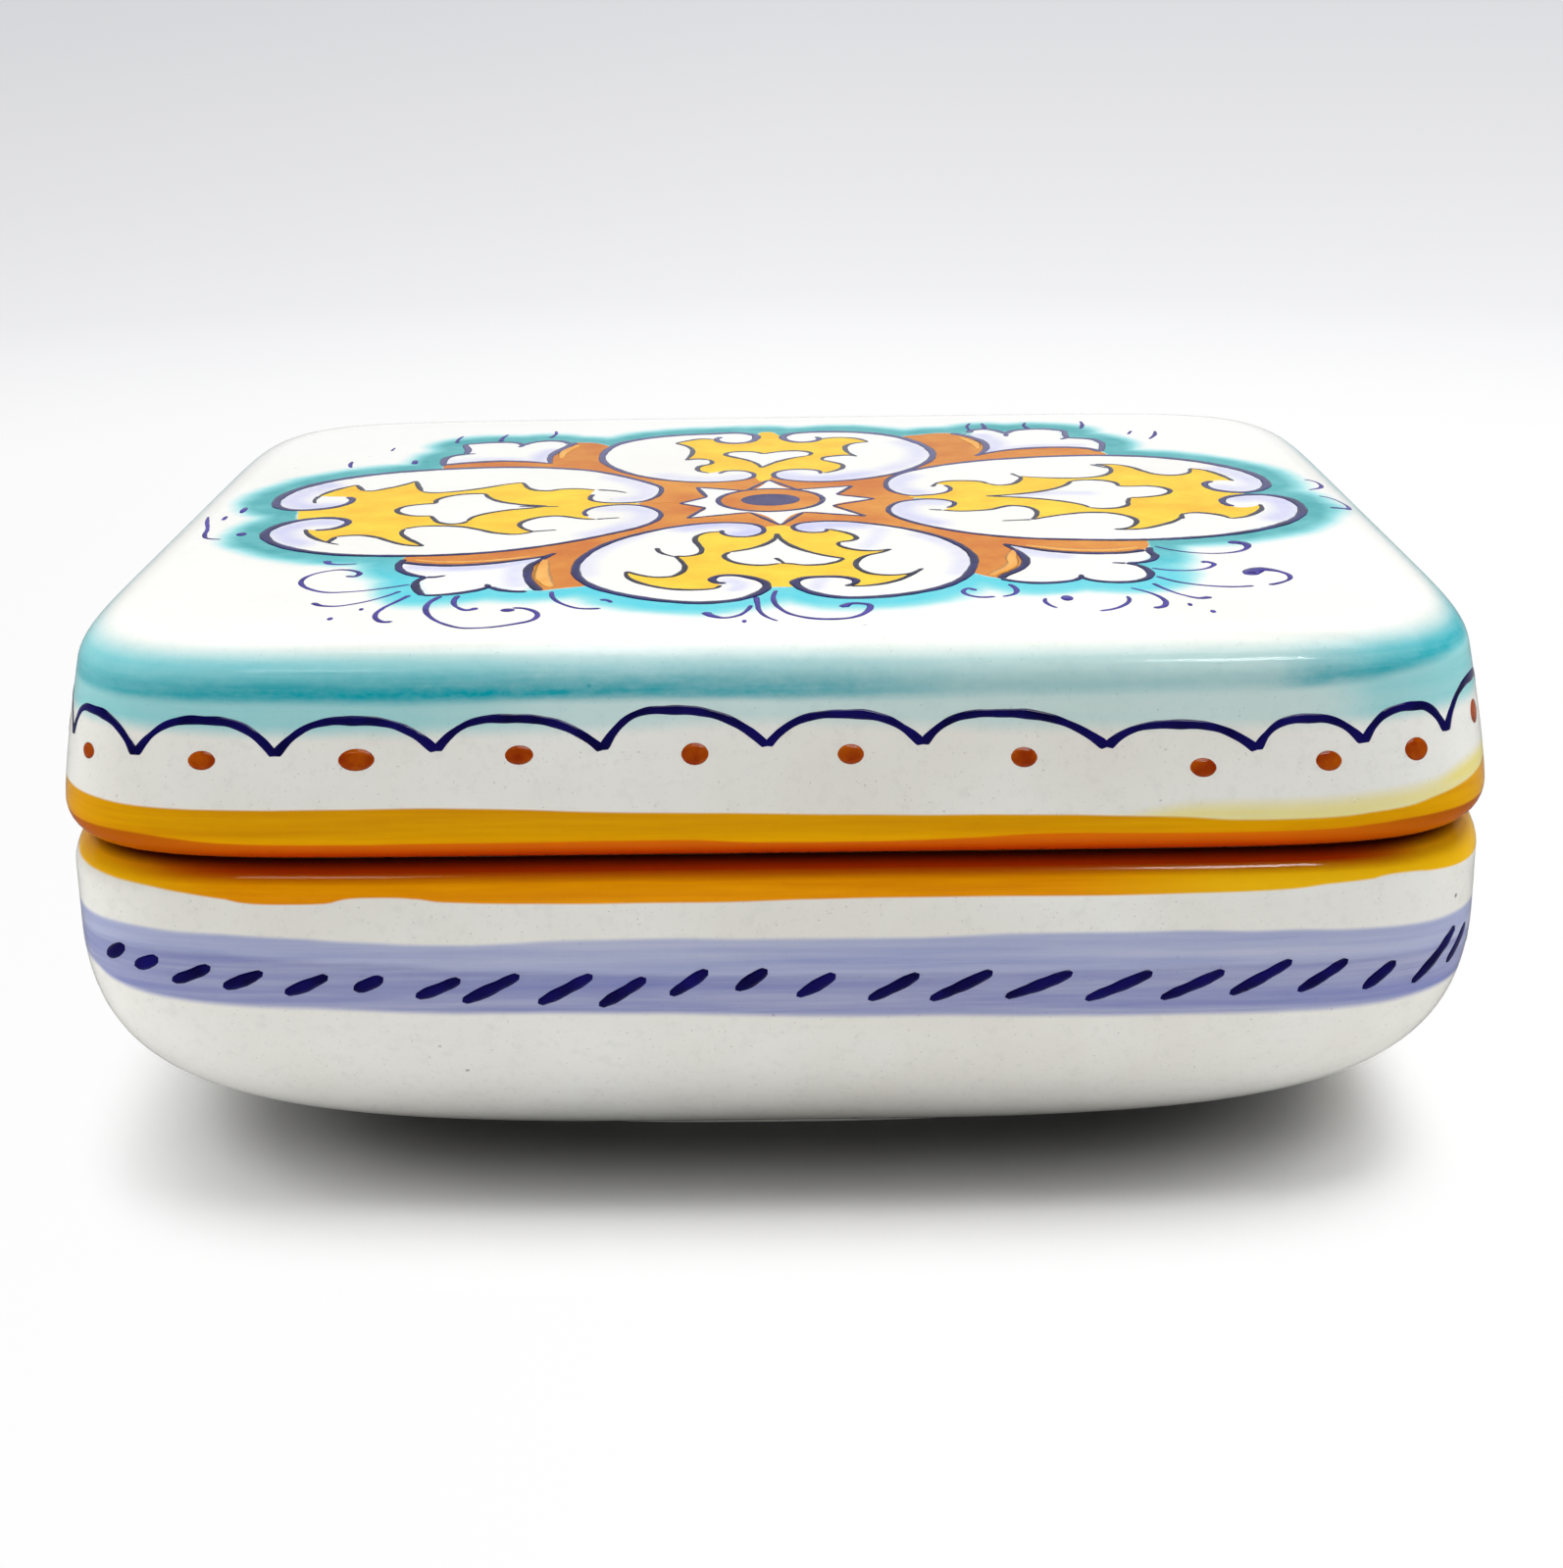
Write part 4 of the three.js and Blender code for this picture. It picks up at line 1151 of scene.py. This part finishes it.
lightStrokes = [
    ([(-25.3, -26.6), (-25.2, -31), (-24.8, -35), (-23.6, -39)], (0.8, 1.7, 1.9, 1.2)),
    ([(27.2, -24.2), (26.4, -28), (26.2, -31.4), (24.6, -34.6), (23.4, -36.4)], (0.8, 1.3, 1.5, 1)),
    ([(28.4, -22.6), (33, -25), (38, -25.4), (41, -24.4)], (0.6, 1.2, 1.4, 1)),
    ([(-27, -25), (-32, -27), (-37, -27.2), (-40, -26)], (0.5, 0.9, 1, 0.6)),
    ([(27.4, 33), (27, 37.4), (25.4, 41)], (0.6, 1.6, 1.2)),
    ([(-28.2, 30), (-28.2, 34), (-26.6, 38.6)], (0.6, 1.6, 1.2)),
]
paintStrokes("ground_lights", [stroke(line, *widths) for line, widths in lightStrokes], onLidTop, 0.008, "lid",
             groundLight)
paintAreas("rosette_leaves", leafOutlines, onLidTop, 0.008, "lid", leafYellow)
paintStrokes("leaf_lines", leafLines, onLidTop, 0.014, "lid", leafLine)

lobeLines = [stroke(edge, 0.6, 0.65, 0.85, 1.0, 1.2, 1.15, 0.85) for edge in lobeEdges.values()]
paintStrokes("lobe_lines", lobeLines, onLidTop, 0.016, "lid", navyLine)

starLines = [stroke([a, b], 0.5, 0.65, 0.5) for a, b in zip(star, star[1:] + star[:1])]
turn = np.linspace(0, 2 * math.pi, 65)[:-1]
circle = np.stack((np.cos(turn), np.sin(turn)), 1)
ringLine = np.array(eye["centre"]) + circle * eye["outline"]
starLines.append((np.vstack((ringLine, ringLine[:1])), np.full(65, 0.36)))
paintStrokes("star_lines", starLines, onLidTop, 0.016, "lid", navyLine)
paintAreas("eye_ring", [np.array(eye["centre"]) + circle * eye["ring"]], onLidTop, 0.012, "lid",
           groundOrange)
paintAreas("eye_disc", [np.array(eye["centre"]) + circle * (eye["disc"], eye["disc"] * 0.92)], onLidTop, 0.018,
           "lid", eyeViolet)

cornerLines = []
for corner in corners.values():
    cornerLines += [stroke(line, 0.5, 0.85, 1.1, 1.0, 1.2) for line in corner["ribbons"]]
    cornerLines += [stroke(run, 0.75, 1.0, 0.85) for run in chain(corner["palmette"])]
    cornerLines += [stroke(line, 0.85, 0.5) for line in corner["hooks"]]
paintStrokes("palmette_lines", cornerLines, onLidTop, 0.016, "lid", navyLine)

flourishes = [
    ([(-38.8, -37.2), (-41.5, -38.8), (-44.5, -40), (-47.2, -40.2), (-49.4, -38.6), (-50.8, -35.6),
      (-50.4, -32.8), (-49.2, -31.2), (-47.4, -30.3), (-45.8, -30.9), (-45, -32.2), (-45.4, -33.4),
      (-46.4, -33.2)], (0.3, 0.35, 0.3, 0.45, 0.5, 0.4, 0.3, 0.5, 0.6)),
    ([(-39.4, -40), (-41, -42.6), (-43.2, -44.9), (-45.4, -46), (-47, -45.6), (-47.9, -44.4)], (0.35, 0.3, 0.3, 0.7)),
    ([(-38.2, -41.8), (-39.2, -44.4), (-40.2, -47), (-40.6, -49.6), (-40.2, -51.4), (-39.3, -52.5),
      (-38.4, -52.3)], (0.45, 0.4, 0.4, 0.7)),
    ([(-34.8, -42.4), (-35.7, -45), (-35.7, -47.8), (-34.9, -50.6), (-33.2, -53.4), (-31, -55.2),
      (-28.6, -55.1), (-26, -53.9), (-24.4, -52.6), (-23.9, -51), (-24.3, -49.2), (-25.6, -47.8),
      (-26.8, -47.5)], (0.5, 0.55, 0.4, 0.4, 0.45, 0.5, 0.5)),
    ([(-33, -42.2), (-33.2, -44.6), (-32.6, -46.9), (-31.4, -48.2), (-30.6, -47.8)], (0.45, 0.5, 0.4, 0.7)),
    ([(-23.3, -41), (-22.9, -43.8), (-21.6, -46.4), (-19.8, -48.1), (-17.6, -48.2)], (0.45, 0.4, 0.4, 0.5)),
    ([(-16.7, -46), (-17.2, -44.9), (-18, -44.6)], (0.3, 0.5, 0.8)),
    ([(-49.6, -26), (-49.2, -27.4), (-47.8, -27.9), (-46, -27.6)], (0.8, 0.4, 0.3)),
    ([(-1.7, -44.2), (-1.5, -47.4), (-1.4, -49.2), (-0.4, -52.6), (0.6, -54)], (0.5, 0.5, 0.35, 0.3)),
    ([(0.4, -41.6), (0.1, -45), (0.6, -48.4), (2.1, -51.6), (4.6, -53.3), (8, -53), (9.7, -50.6),
      (9.8, -47.8), (8.2, -47.4), (7.2, -49)], (0.35, 0.5, 0.4, 0.5, 0.6, 0.5, 0.6, 0.9)),
    ([(-2.2, -47.6), (-2.5, -49.4), (-3.8, -52), (-4.7, -52.5), (-6.5, -51.1), (-6.8, -50.1)], (0.4, 0.4, 0.5, 1)),
    ([(25, -40.2), (25.6, -42.4), (25.2, -44.4), (23.9, -45.4)], (0.4, 0.5, 0.4)),
    ([(23.2, -45.3), (21.6, -45.5), (20.3, -44.4), (20, -42.9), (20.6, -41.8), (21.4, -42.8)], (0.6, 0.4, 0.4, 0.6)),
    ([(28.3, -46.2), (28.1, -47.6), (28.5, -49.2), (29.1, -50.3)], (0.3, 0.4, 0.25)),
    ([(36.8, -45.8), (36.8, -47.4), (36, -49.4), (34.8, -50.8), (33.2, -51.6)], (0.3, 0.45, 0.4, 0.4)),
    ([(37.6, -42.4), (39.2, -44.4), (40.2, -46.6), (40.4, -48.6), (39.8, -50.2), (38.8, -50.7)], (0.3, 0.4, 0.45, 0.8)),
    ([(40.2, -40.6), (41.2, -43.2), (42.6, -45.6), (44.2, -47), (45.4, -46.5)], (0.4, 0.35, 0.3, 0.8)),
    ([(41, -37.6), (43.2, -40.4), (46, -42), (48.6, -42.5), (50.6, -42.2)], (0.35, 0.4, 0.4, 0.5)),
    ([(52.2, -41.9), (53.6, -41), (54.9, -39.4), (55.1, -37.8), (54, -35.8), (52.6, -35.1), (51.6, -36),
      (51.2, -37.2)], (0.6, 0.4, 0.45, 0.5, 1.6, 2)),
    ([(41, -34), (43, -35.1), (45.4, -35.2), (47.4, -33.9), (48, -32.4), (47.2, -31.5), (46.9, -32)],
     (0.35, 0.4, 0.35, 0.4, 0.8)),
    ([(42.8, -24), (44.6, -26), (47, -27.4), (49.6, -27.7), (51.8, -26.8), (53, -25), (53, -23.4),
      (52.2, -22.6)], (0.35, 0.3, 0.3, 0.4, 0.5, 1.4)),
    ([(-68.1, -2.5), (-67.6, -5.3), (-66.5, -10.3), (-66.3, -12.5), (-65.6, -14.4), (-63.8, -15)],
     (0.2, 0.5, 0.35, 0.5, 0.3)),
    ([(-55.9, 29.3), (-55.9, 27.3), (-55.4, 25.2)], (0.3, 0.5, 0.3)),
    ([(-65.8, -2.8), (-65.8, -5)], (0.4,)),
    ([(66.5, 10.5), (67.6, 9.4), (68, 7.8), (67.4, 5.5), (65.8, 4.4)], (0.3, 0.4, 0.45, 0.3)),
    ([(66.3, 1), (67.6, -0.4), (68.5, -2.2), (68.9, -4.2), (68.5, -5.6), (66.3, -5.5)], (0.25, 0.3, 0.5, 0.6)),
    ([(-43.5, 41), (-43.6, 44), (-43.2, 46)], (0.5, 0.3)), ([(-37.6, 42), (-37.5, 45), (-37, 47)], (0.6, 0.3)),
    ([(-31, 44), (-30.4, 47), (-30.6, 49)], (0.5, 0.3)), ([(-51.8, 36), (-51.6, 38.4)], (0.3, 0.2)),
    ([(-47.4, 27), (-47.6, 29.6)], (0.8, 0.5)), ([(27.2, 46), (27, 48.6), (27.6, 51)], (0.4, 0.3)),
    ([(29.2, 46), (29.4, 49), (29.2, 51)], (0.8, 0.3)), ([(35.4, 46.5), (35, 49), (35.4, 51)], (0.6, 0.3)),
    ([(42.6, 46), (43.2, 49), (43.2, 51.5)], (0.4, 0.5, 0.3)), ([(48.6, 41.5), (49.4, 44)], (0.4, 0.3)),
    ([(51, 38), (52.2, 41), (52.6, 43.6)], (0.3, 0.5, 0.3)),
]
blobs = [
    (-27.2, -48.4, 0.75, 0.7), (-42.4, -47.4, 0.25, 0.5), (-45, -51, 0.3, 0.6), (-2.8, -53.9, 0.25, 0.6),
    (30.5, -46.3, 0.65, 1.1), (42.7, -49.5, 0.25, 0.6), (44.6, -52.3, 0.3, 0.6), (-30.7, -47.7, 0.4, 0.5),
    (-64.4, 0.4, 0.4, 1.6), (-62, -12.5, 0.6, 0.9), (52, -22.6, 0.8, 0.8), (51.3, -36.9, 0.9, 0.8),
]
flourishLines = [stroke(line, *(width * 1.25 for width in widths)) for line, widths in flourishes]
flourishLines += [dab(*blob) for blob in blobs]
paintStrokes("flourishes", flourishLines, onLidTop, 0.016, "lid", violetLine)
print("lid's top painted")


scallops = {
    "cusps": [(-75, 50.8), (-64.3, 50.6), (-49.7, 50.9), (-33.6, 51.3), (-17, 51.2), (-0.6, 51.4), (14.9, 51.4),
              (33.2, 50.9), (48.1, 50.4), (59, 50.7), (68.6, 50.8), (82.6, 51.6)],
    "crests": [(-70.8, 54.2), (-57, 54.3), (-42, 54.3), (-26.5, 54.35), (-10.5, 55), (7.5, 54.4), (22.5, 54.3),
               (40.5, 53), (53.8, 53.3), (65, 53.8), (75.4, 54.8)],
    "pitch": 14.7,  # round the sides and the back, which the painter went on with by eye
}
dabs = [
    (-70.7, 50.1, 1, 0.8), (-57.1, 50.4, 1.4, 0.95), (-41.5, 50.5, 1.8, 1.1), (-25.3, 50.8, 1.4, 0.95),
    (-7.8, 50.7, 1.35, 1.1), (7.7, 50.5, 1.3, 1), (24.9, 50, 1.3, 1), (42.6, 48.75, 1.3, 0.95),
    (55.2, 49.1, 1.3, 1), (64.6, 49.6, 1.3, 1.15), (74.9, 51.4, 1.2, 1.2)]
cusps, crests = list(scallops["cusps"]), list(scallops["crests"])
count = math.ceil((girth - cusps[-1][0] + cusps[0][0]) / scallops["pitch"])
pitch = (girth - cusps[-1][0] + cusps[0][0]) / count
start = cusps[-1][0]
for i in range(count):
    end = start + pitch + (hand.uniform(-1.2, 1.2) if i < count - 1 else 0)
    if i == count - 1:
        end = girth + cusps[0][0]
    crests.append(((start + end) / 2 + hand.uniform(-0.8, 0.8), hand.uniform(53.6, 54.8)))
    dabs.append(((start + end) / 2 + hand.uniform(-1, 1), hand.uniform(49.4, 50.8), hand.uniform(1.1, 1.6),
                 hand.uniform(0.9, 1.15)))
    cusps.append((end, hand.uniform(50.5, 51.4) if i < count - 1 else cusps[0][1]))
    start = end
scallopLines = []
for before, crest, after in zip(cusps, crests, cusps[1:]):
    left, right = crest[0] - before[0], after[0] - crest[0]
    arch = [before]
    for share, rise in ((0.17, 0.46), (0.4, 0.82), (0.66, 0.98)):
        arch.append((before[0] + left * share, before[1] + (crest[1] - before[1]) * rise))
    arch.append(crest)
    for share, rise in ((0.3, 0.96), (0.58, 0.76), (0.82, 0.4)):
        arch.append((crest[0] + right * share, after[1] + (crest[1] - after[1]) * rise))
    arch.append(after)
    scallopLines.append(stroke(arch, 1.05, 0.7, 0.75, 0.85, 0.95, 0.85, 0.8, 1.05))
paintStrokes("scallop_line", scallopLines, onLidWall, 0.012, "lid", scallopBlue)
paintStrokes("orange_dabs", [dab(*touch) for touch in dabs], onLidWall, 0.012, "lid", dabOrange)

dashes = [
    (-69.9, 28.4, -67, 30.1), (-66, 28, -63, 29.3), (-61.8, 26.8, -57.4, 28.7), (-56.4, 26.4, -52, 28.2),
    (-50.1, 25.8, -45.4, 27.8), (-43, 26.2, -39.8, 27.6), (-36.8, 25.3, -32, 27.3), (-32.1, 24.7, -26, 27.7),
    (-24.4, 24.4, -18.6, 27.6), (-18.2, 24, -13.2, 27.2), (-10.9, 25.2, -6.9, 28), (-4.2, 25.7, -0.9, 28),
    (2, 24.9, 6, 27.4), (9.3, 24.4, 14.5, 27.3), (15.6, 24.3, 21.9, 27.5), (23.3, 24.5, 30, 27.3),
    (31.5, 24.1, 38.1, 27.2), (39.2, 24.1, 45.4, 27.2), (46.2, 24.5, 52.2, 28.2), (53.2, 24.6, 58, 28),
    (60.1, 24.4, 63.3, 27.3), (65.8, 24.3, 71.2, 29.5), (70.5, 25.5, 74, 29)]
at = 77.5
while at < girth - 83:
    length = hand.uniform(3.6, 6.2)
    across = outlineAt(at + length / 2)[0] * plan["halfLength"]
    low = hand.uniform(24, 25.6) + np.interp(across, (-75, -66, -50, -30, 0, 60, 75), (3.6, 2.4, 1.4, 0.8, 0.2, 0, 0.8))
    dashes.append((at, low, at + length, low + length * 0.5 + hand.uniform(-0.2, 0.3)))
    at += hand.uniform(6.8, 8.2)
dashLines = [
    stroke([(a, b), ((a + c) / 2 - 0.1, (b + d) / 2 - 0.12), (c, d)], 0.7, 1.25, 1.35, 1.25, 0.8) for a, b, c, d in dashes]
paintStrokes("blue_dashes", dashLines, onBaseWall, 0.012, "base", scallopBlue)
print("walls painted")


stageSizes = {
    "flat": 0.46,  # the paper lies flat this far out, in metres
    "curl": 0.75,  # radius of its upward curl
    "height": 1.0,
    "pointsRound": 96,
    "shadeLength": 0.07,  # half sides of the shade under the box
    "shadeWidth": 0.066,
}


def paperMaterial():
    m = Recipe("white paper")
    seen = m.add("LightPath")
    grain = m.noise(900, 3)
    white = m.mix(m.math("MULTIPLY", grain, 0.04), paint(250, 250, 250), paint(228, 230, 232))
    # a shadow is painted on it where the belly hangs over it, and there it is painted dark for bounced light too, so it
    # throws little light back from there
    sideways = m.math("ABSOLUTE", m.math("DIVIDE", m.axis("X"), stageSizes["shadeLength"]))
    forwards = m.math("ABSOLUTE", m.math("DIVIDE", m.axis("Y"), stageSizes["shadeWidth"]))
    beside = m.math("ADD", m.math("POWER", sideways, 4.0), m.math("POWER", forwards, 4.0))
    paintedShadow = m.mix(m.span(beside, 0.2, 1.05, smooth=True), (0.22, 0.22, 0.215, 1), (1, 1, 1, 1))
    white = m.mix(1.0, white, paintedShadow, "MULTIPLY")
    paintedBounceShade = m.mix(m.span(beside, 0.55, 1.3), paint(96, 96, 94), paint(245, 245, 245))
    white = m.mix(seen.outputs["Is Diffuse Ray"], white, paintedBounceShade)
    diffuse = m.add("BsdfDiffuse", {"Color": white})
    # the paper glows for the camera and the glaze; the glow is painted greyer far from the box and dimmer to the left,
    # a painted falloff of light
    away = m.add("VectorMath", {0: m.place}, operation="LENGTH").outputs["Value"]
    far = m.add("ValToRGB", {"Fac": m.span(away, 0.4, 0.84)})
    stops = far.color_ramp.elements
    stops[0].color = paint(255, 255, 255)
    stops[1].color = paint(221, 222, 225)
    for place, colour in ((0.15, (253, 253, 253)), (0.3, (248, 248, 250)), (0.4, (242, 242, 244)),
                          (0.64, (234, 234, 236)), (0.83, (228, 228, 231))):
        stops.new(place).color = paint(*colour)
    paintedDimLeft = m.span(m.axis("X"), -0.34, 0.0, 0.93, 1.0)
    # for the glaze, the paper's glow is painted dimmer in front than behind, a painted reflection of a darker room in
    # front of the table
    paintedDimFront = m.math("MULTIPLY", seen.outputs["Is Glossy Ray"], m.span(m.axis("Y"), -0.1, 0.5, 0.8, 0.5))
    glow = m.add("Emission", {"Color": far.outputs[0], "Strength": m.math("SUBTRACT", paintedDimLeft, paintedDimFront)})
    direct = m.math("MAXIMUM", seen.outputs["Is Camera Ray"], seen.outputs["Is Glossy Ray"])
    direct = m.math("MAXIMUM", direct, seen.outputs["Is Transmission Ray"])
    # away from the box the paper glows white for the camera and the glaze instead of showing its lighting, a painted
    # light that also lightens the outer edge of the shadow
    sideways = m.math("MULTIPLY", sideways, 1.06)
    outer = m.math("ADD", m.math("POWER", sideways, 4.0), m.math("POWER", forwards, 4.0))
    outer = m.span(outer, 0.7, 2.3, smooth=True)
    shader = m.add("MixShader", {0: m.math("MULTIPLY", direct, outer), 1: diffuse.outputs[0], 2: glow.outputs[0]})
    output = m.add("OutputMaterial")
    m.tree.links.new(shader.outputs[0], output.inputs["Surface"])
    return m.material


def layPaper():
    s = stageSizes
    deselectAll()
    bpy.ops.mesh.primitive_circle_add(vertices=s["pointsRound"], radius=s["flat"], fill_type="TRIFAN")
    paper = bpy.context.object
    paper.name = "paper_sweep"
    bpy.ops.object.mode_set(mode="EDIT")
    bpy.ops.mesh.select_all(action="DESELECT")
    bpy.ops.mesh.select_non_manifold()
    radius, height = s["flat"], 0
    for turn in np.linspace(0, math.pi / 2.4, 17)[1:]:
        nextRadius = s["flat"] + s["curl"] * math.sin(turn)
        nextHeight = s["curl"] * (1 - math.cos(turn))
        bpy.ops.mesh.extrude_region_move(TRANSFORM_OT_translate={"value": (0, 0, nextHeight - height)})
        bpy.ops.transform.resize(
            value=(nextRadius / radius,) * 2 + (1,), center_override=(0, 0, nextHeight))
        radius, height = nextRadius, nextHeight
    bpy.ops.object.mode_set(mode="OBJECT")
    bpy.ops.object.shade_smooth()
    paper.data.materials.append(paperMaterial())


def addLamp(name, place, target, size, energy, colour=(1, 1, 1)):
    lamp = bpy.data.lights.new(name, "AREA")
    lamp.shape = "RECTANGLE"
    lamp.size, lamp.size_y = size
    lamp.energy = energy
    lamp.color = colour
    holder = bpy.data.objects.new(name, lamp)
    bpy.context.collection.objects.link(holder)
    aim = Vector(target) - Vector(place)
    holder.matrix_world = Matrix.Translation(place) @ aim.to_track_quat("-Z", "Y").to_matrix().to_4x4()
    return holder


def setCamera():
    yaw, pitch, roll = -0.00334, 0.33123, -0.01316
    forward = Vector((math.sin(yaw) * math.cos(pitch), math.cos(yaw) * math.cos(pitch), -math.sin(pitch)))
    level = Vector((math.cos(yaw), -math.sin(yaw), 0))
    upright = level.cross(forward)
    right = level * math.cos(roll) + upright * math.sin(roll)
    up = upright * math.cos(roll) - level * math.sin(roll)
    camera = bpy.data.cameras.new("camera")
    camera.lens = 56.285
    camera.sensor_width = 36
    camera.clip_start = 0.01
    holder = bpy.data.objects.new("camera", camera)
    bpy.context.collection.objects.link(holder)
    turned = Matrix((right, up, -forward)).transposed().to_4x4()
    holder.matrix_world = Matrix.Translation((0.001526, -0.292377, 0.126019)) @ turned
    bpy.context.scene.camera = holder


layPaper()
world = bpy.data.worlds.new("studio")
bpy.context.scene.world = world
world.use_nodes = True
world.node_tree.nodes["Background"].inputs["Color"].default_value = (1, 1, 1, 1)
# the camera sees pale paper beyond the sweep too, and the box a dim room
worldSeen = world.node_tree.nodes.new("ShaderNodeLightPath")
worldStrength = world.node_tree.nodes.new("ShaderNodeMapRange")
worldStrength.inputs["To Min"].default_value = 0.02
worldStrength.inputs["To Max"].default_value = 0.72
world.node_tree.links.new(worldSeen.outputs["Is Camera Ray"], worldStrength.inputs["Value"])
world.node_tree.links.new(worldStrength.outputs[0], world.node_tree.nodes["Background"].inputs["Strength"])
addLamp("overhead", (0.13, 0.08, 0.96), (0, 0, 0), (0.66, 0.52), 10.6)
for name, place, size, energy in (("left", (-0.5, -0.05, 0.16), (0.3, 0.2), 0.9),
                                  ("right", (0.5, -0.05, 0.16), (0.3, 0.2), 0.3),
                                  ("front", (0, -0.6, 0.7), (0.6, 0.4), 0.45)):
    fill = addLamp(name, place, (0, 0, 0.02), size, energy)
    fill.visible_glossy = False  # fills do not mirror in the glaze
# two soft boxes that only show as glints on the round edges
for name, side, energy in (("glint right", 1, 4.6), ("glint left", -1, 1.1)):
    glint = addLamp(name, (0.3 * side, -0.55, 0.95), (0, 0, 0), (0.22, 0.12), energy)
    glint.visible_diffuse = False
setCamera()
bpy.context.scene.view_settings.view_transform = "Standard"
print("stage set")
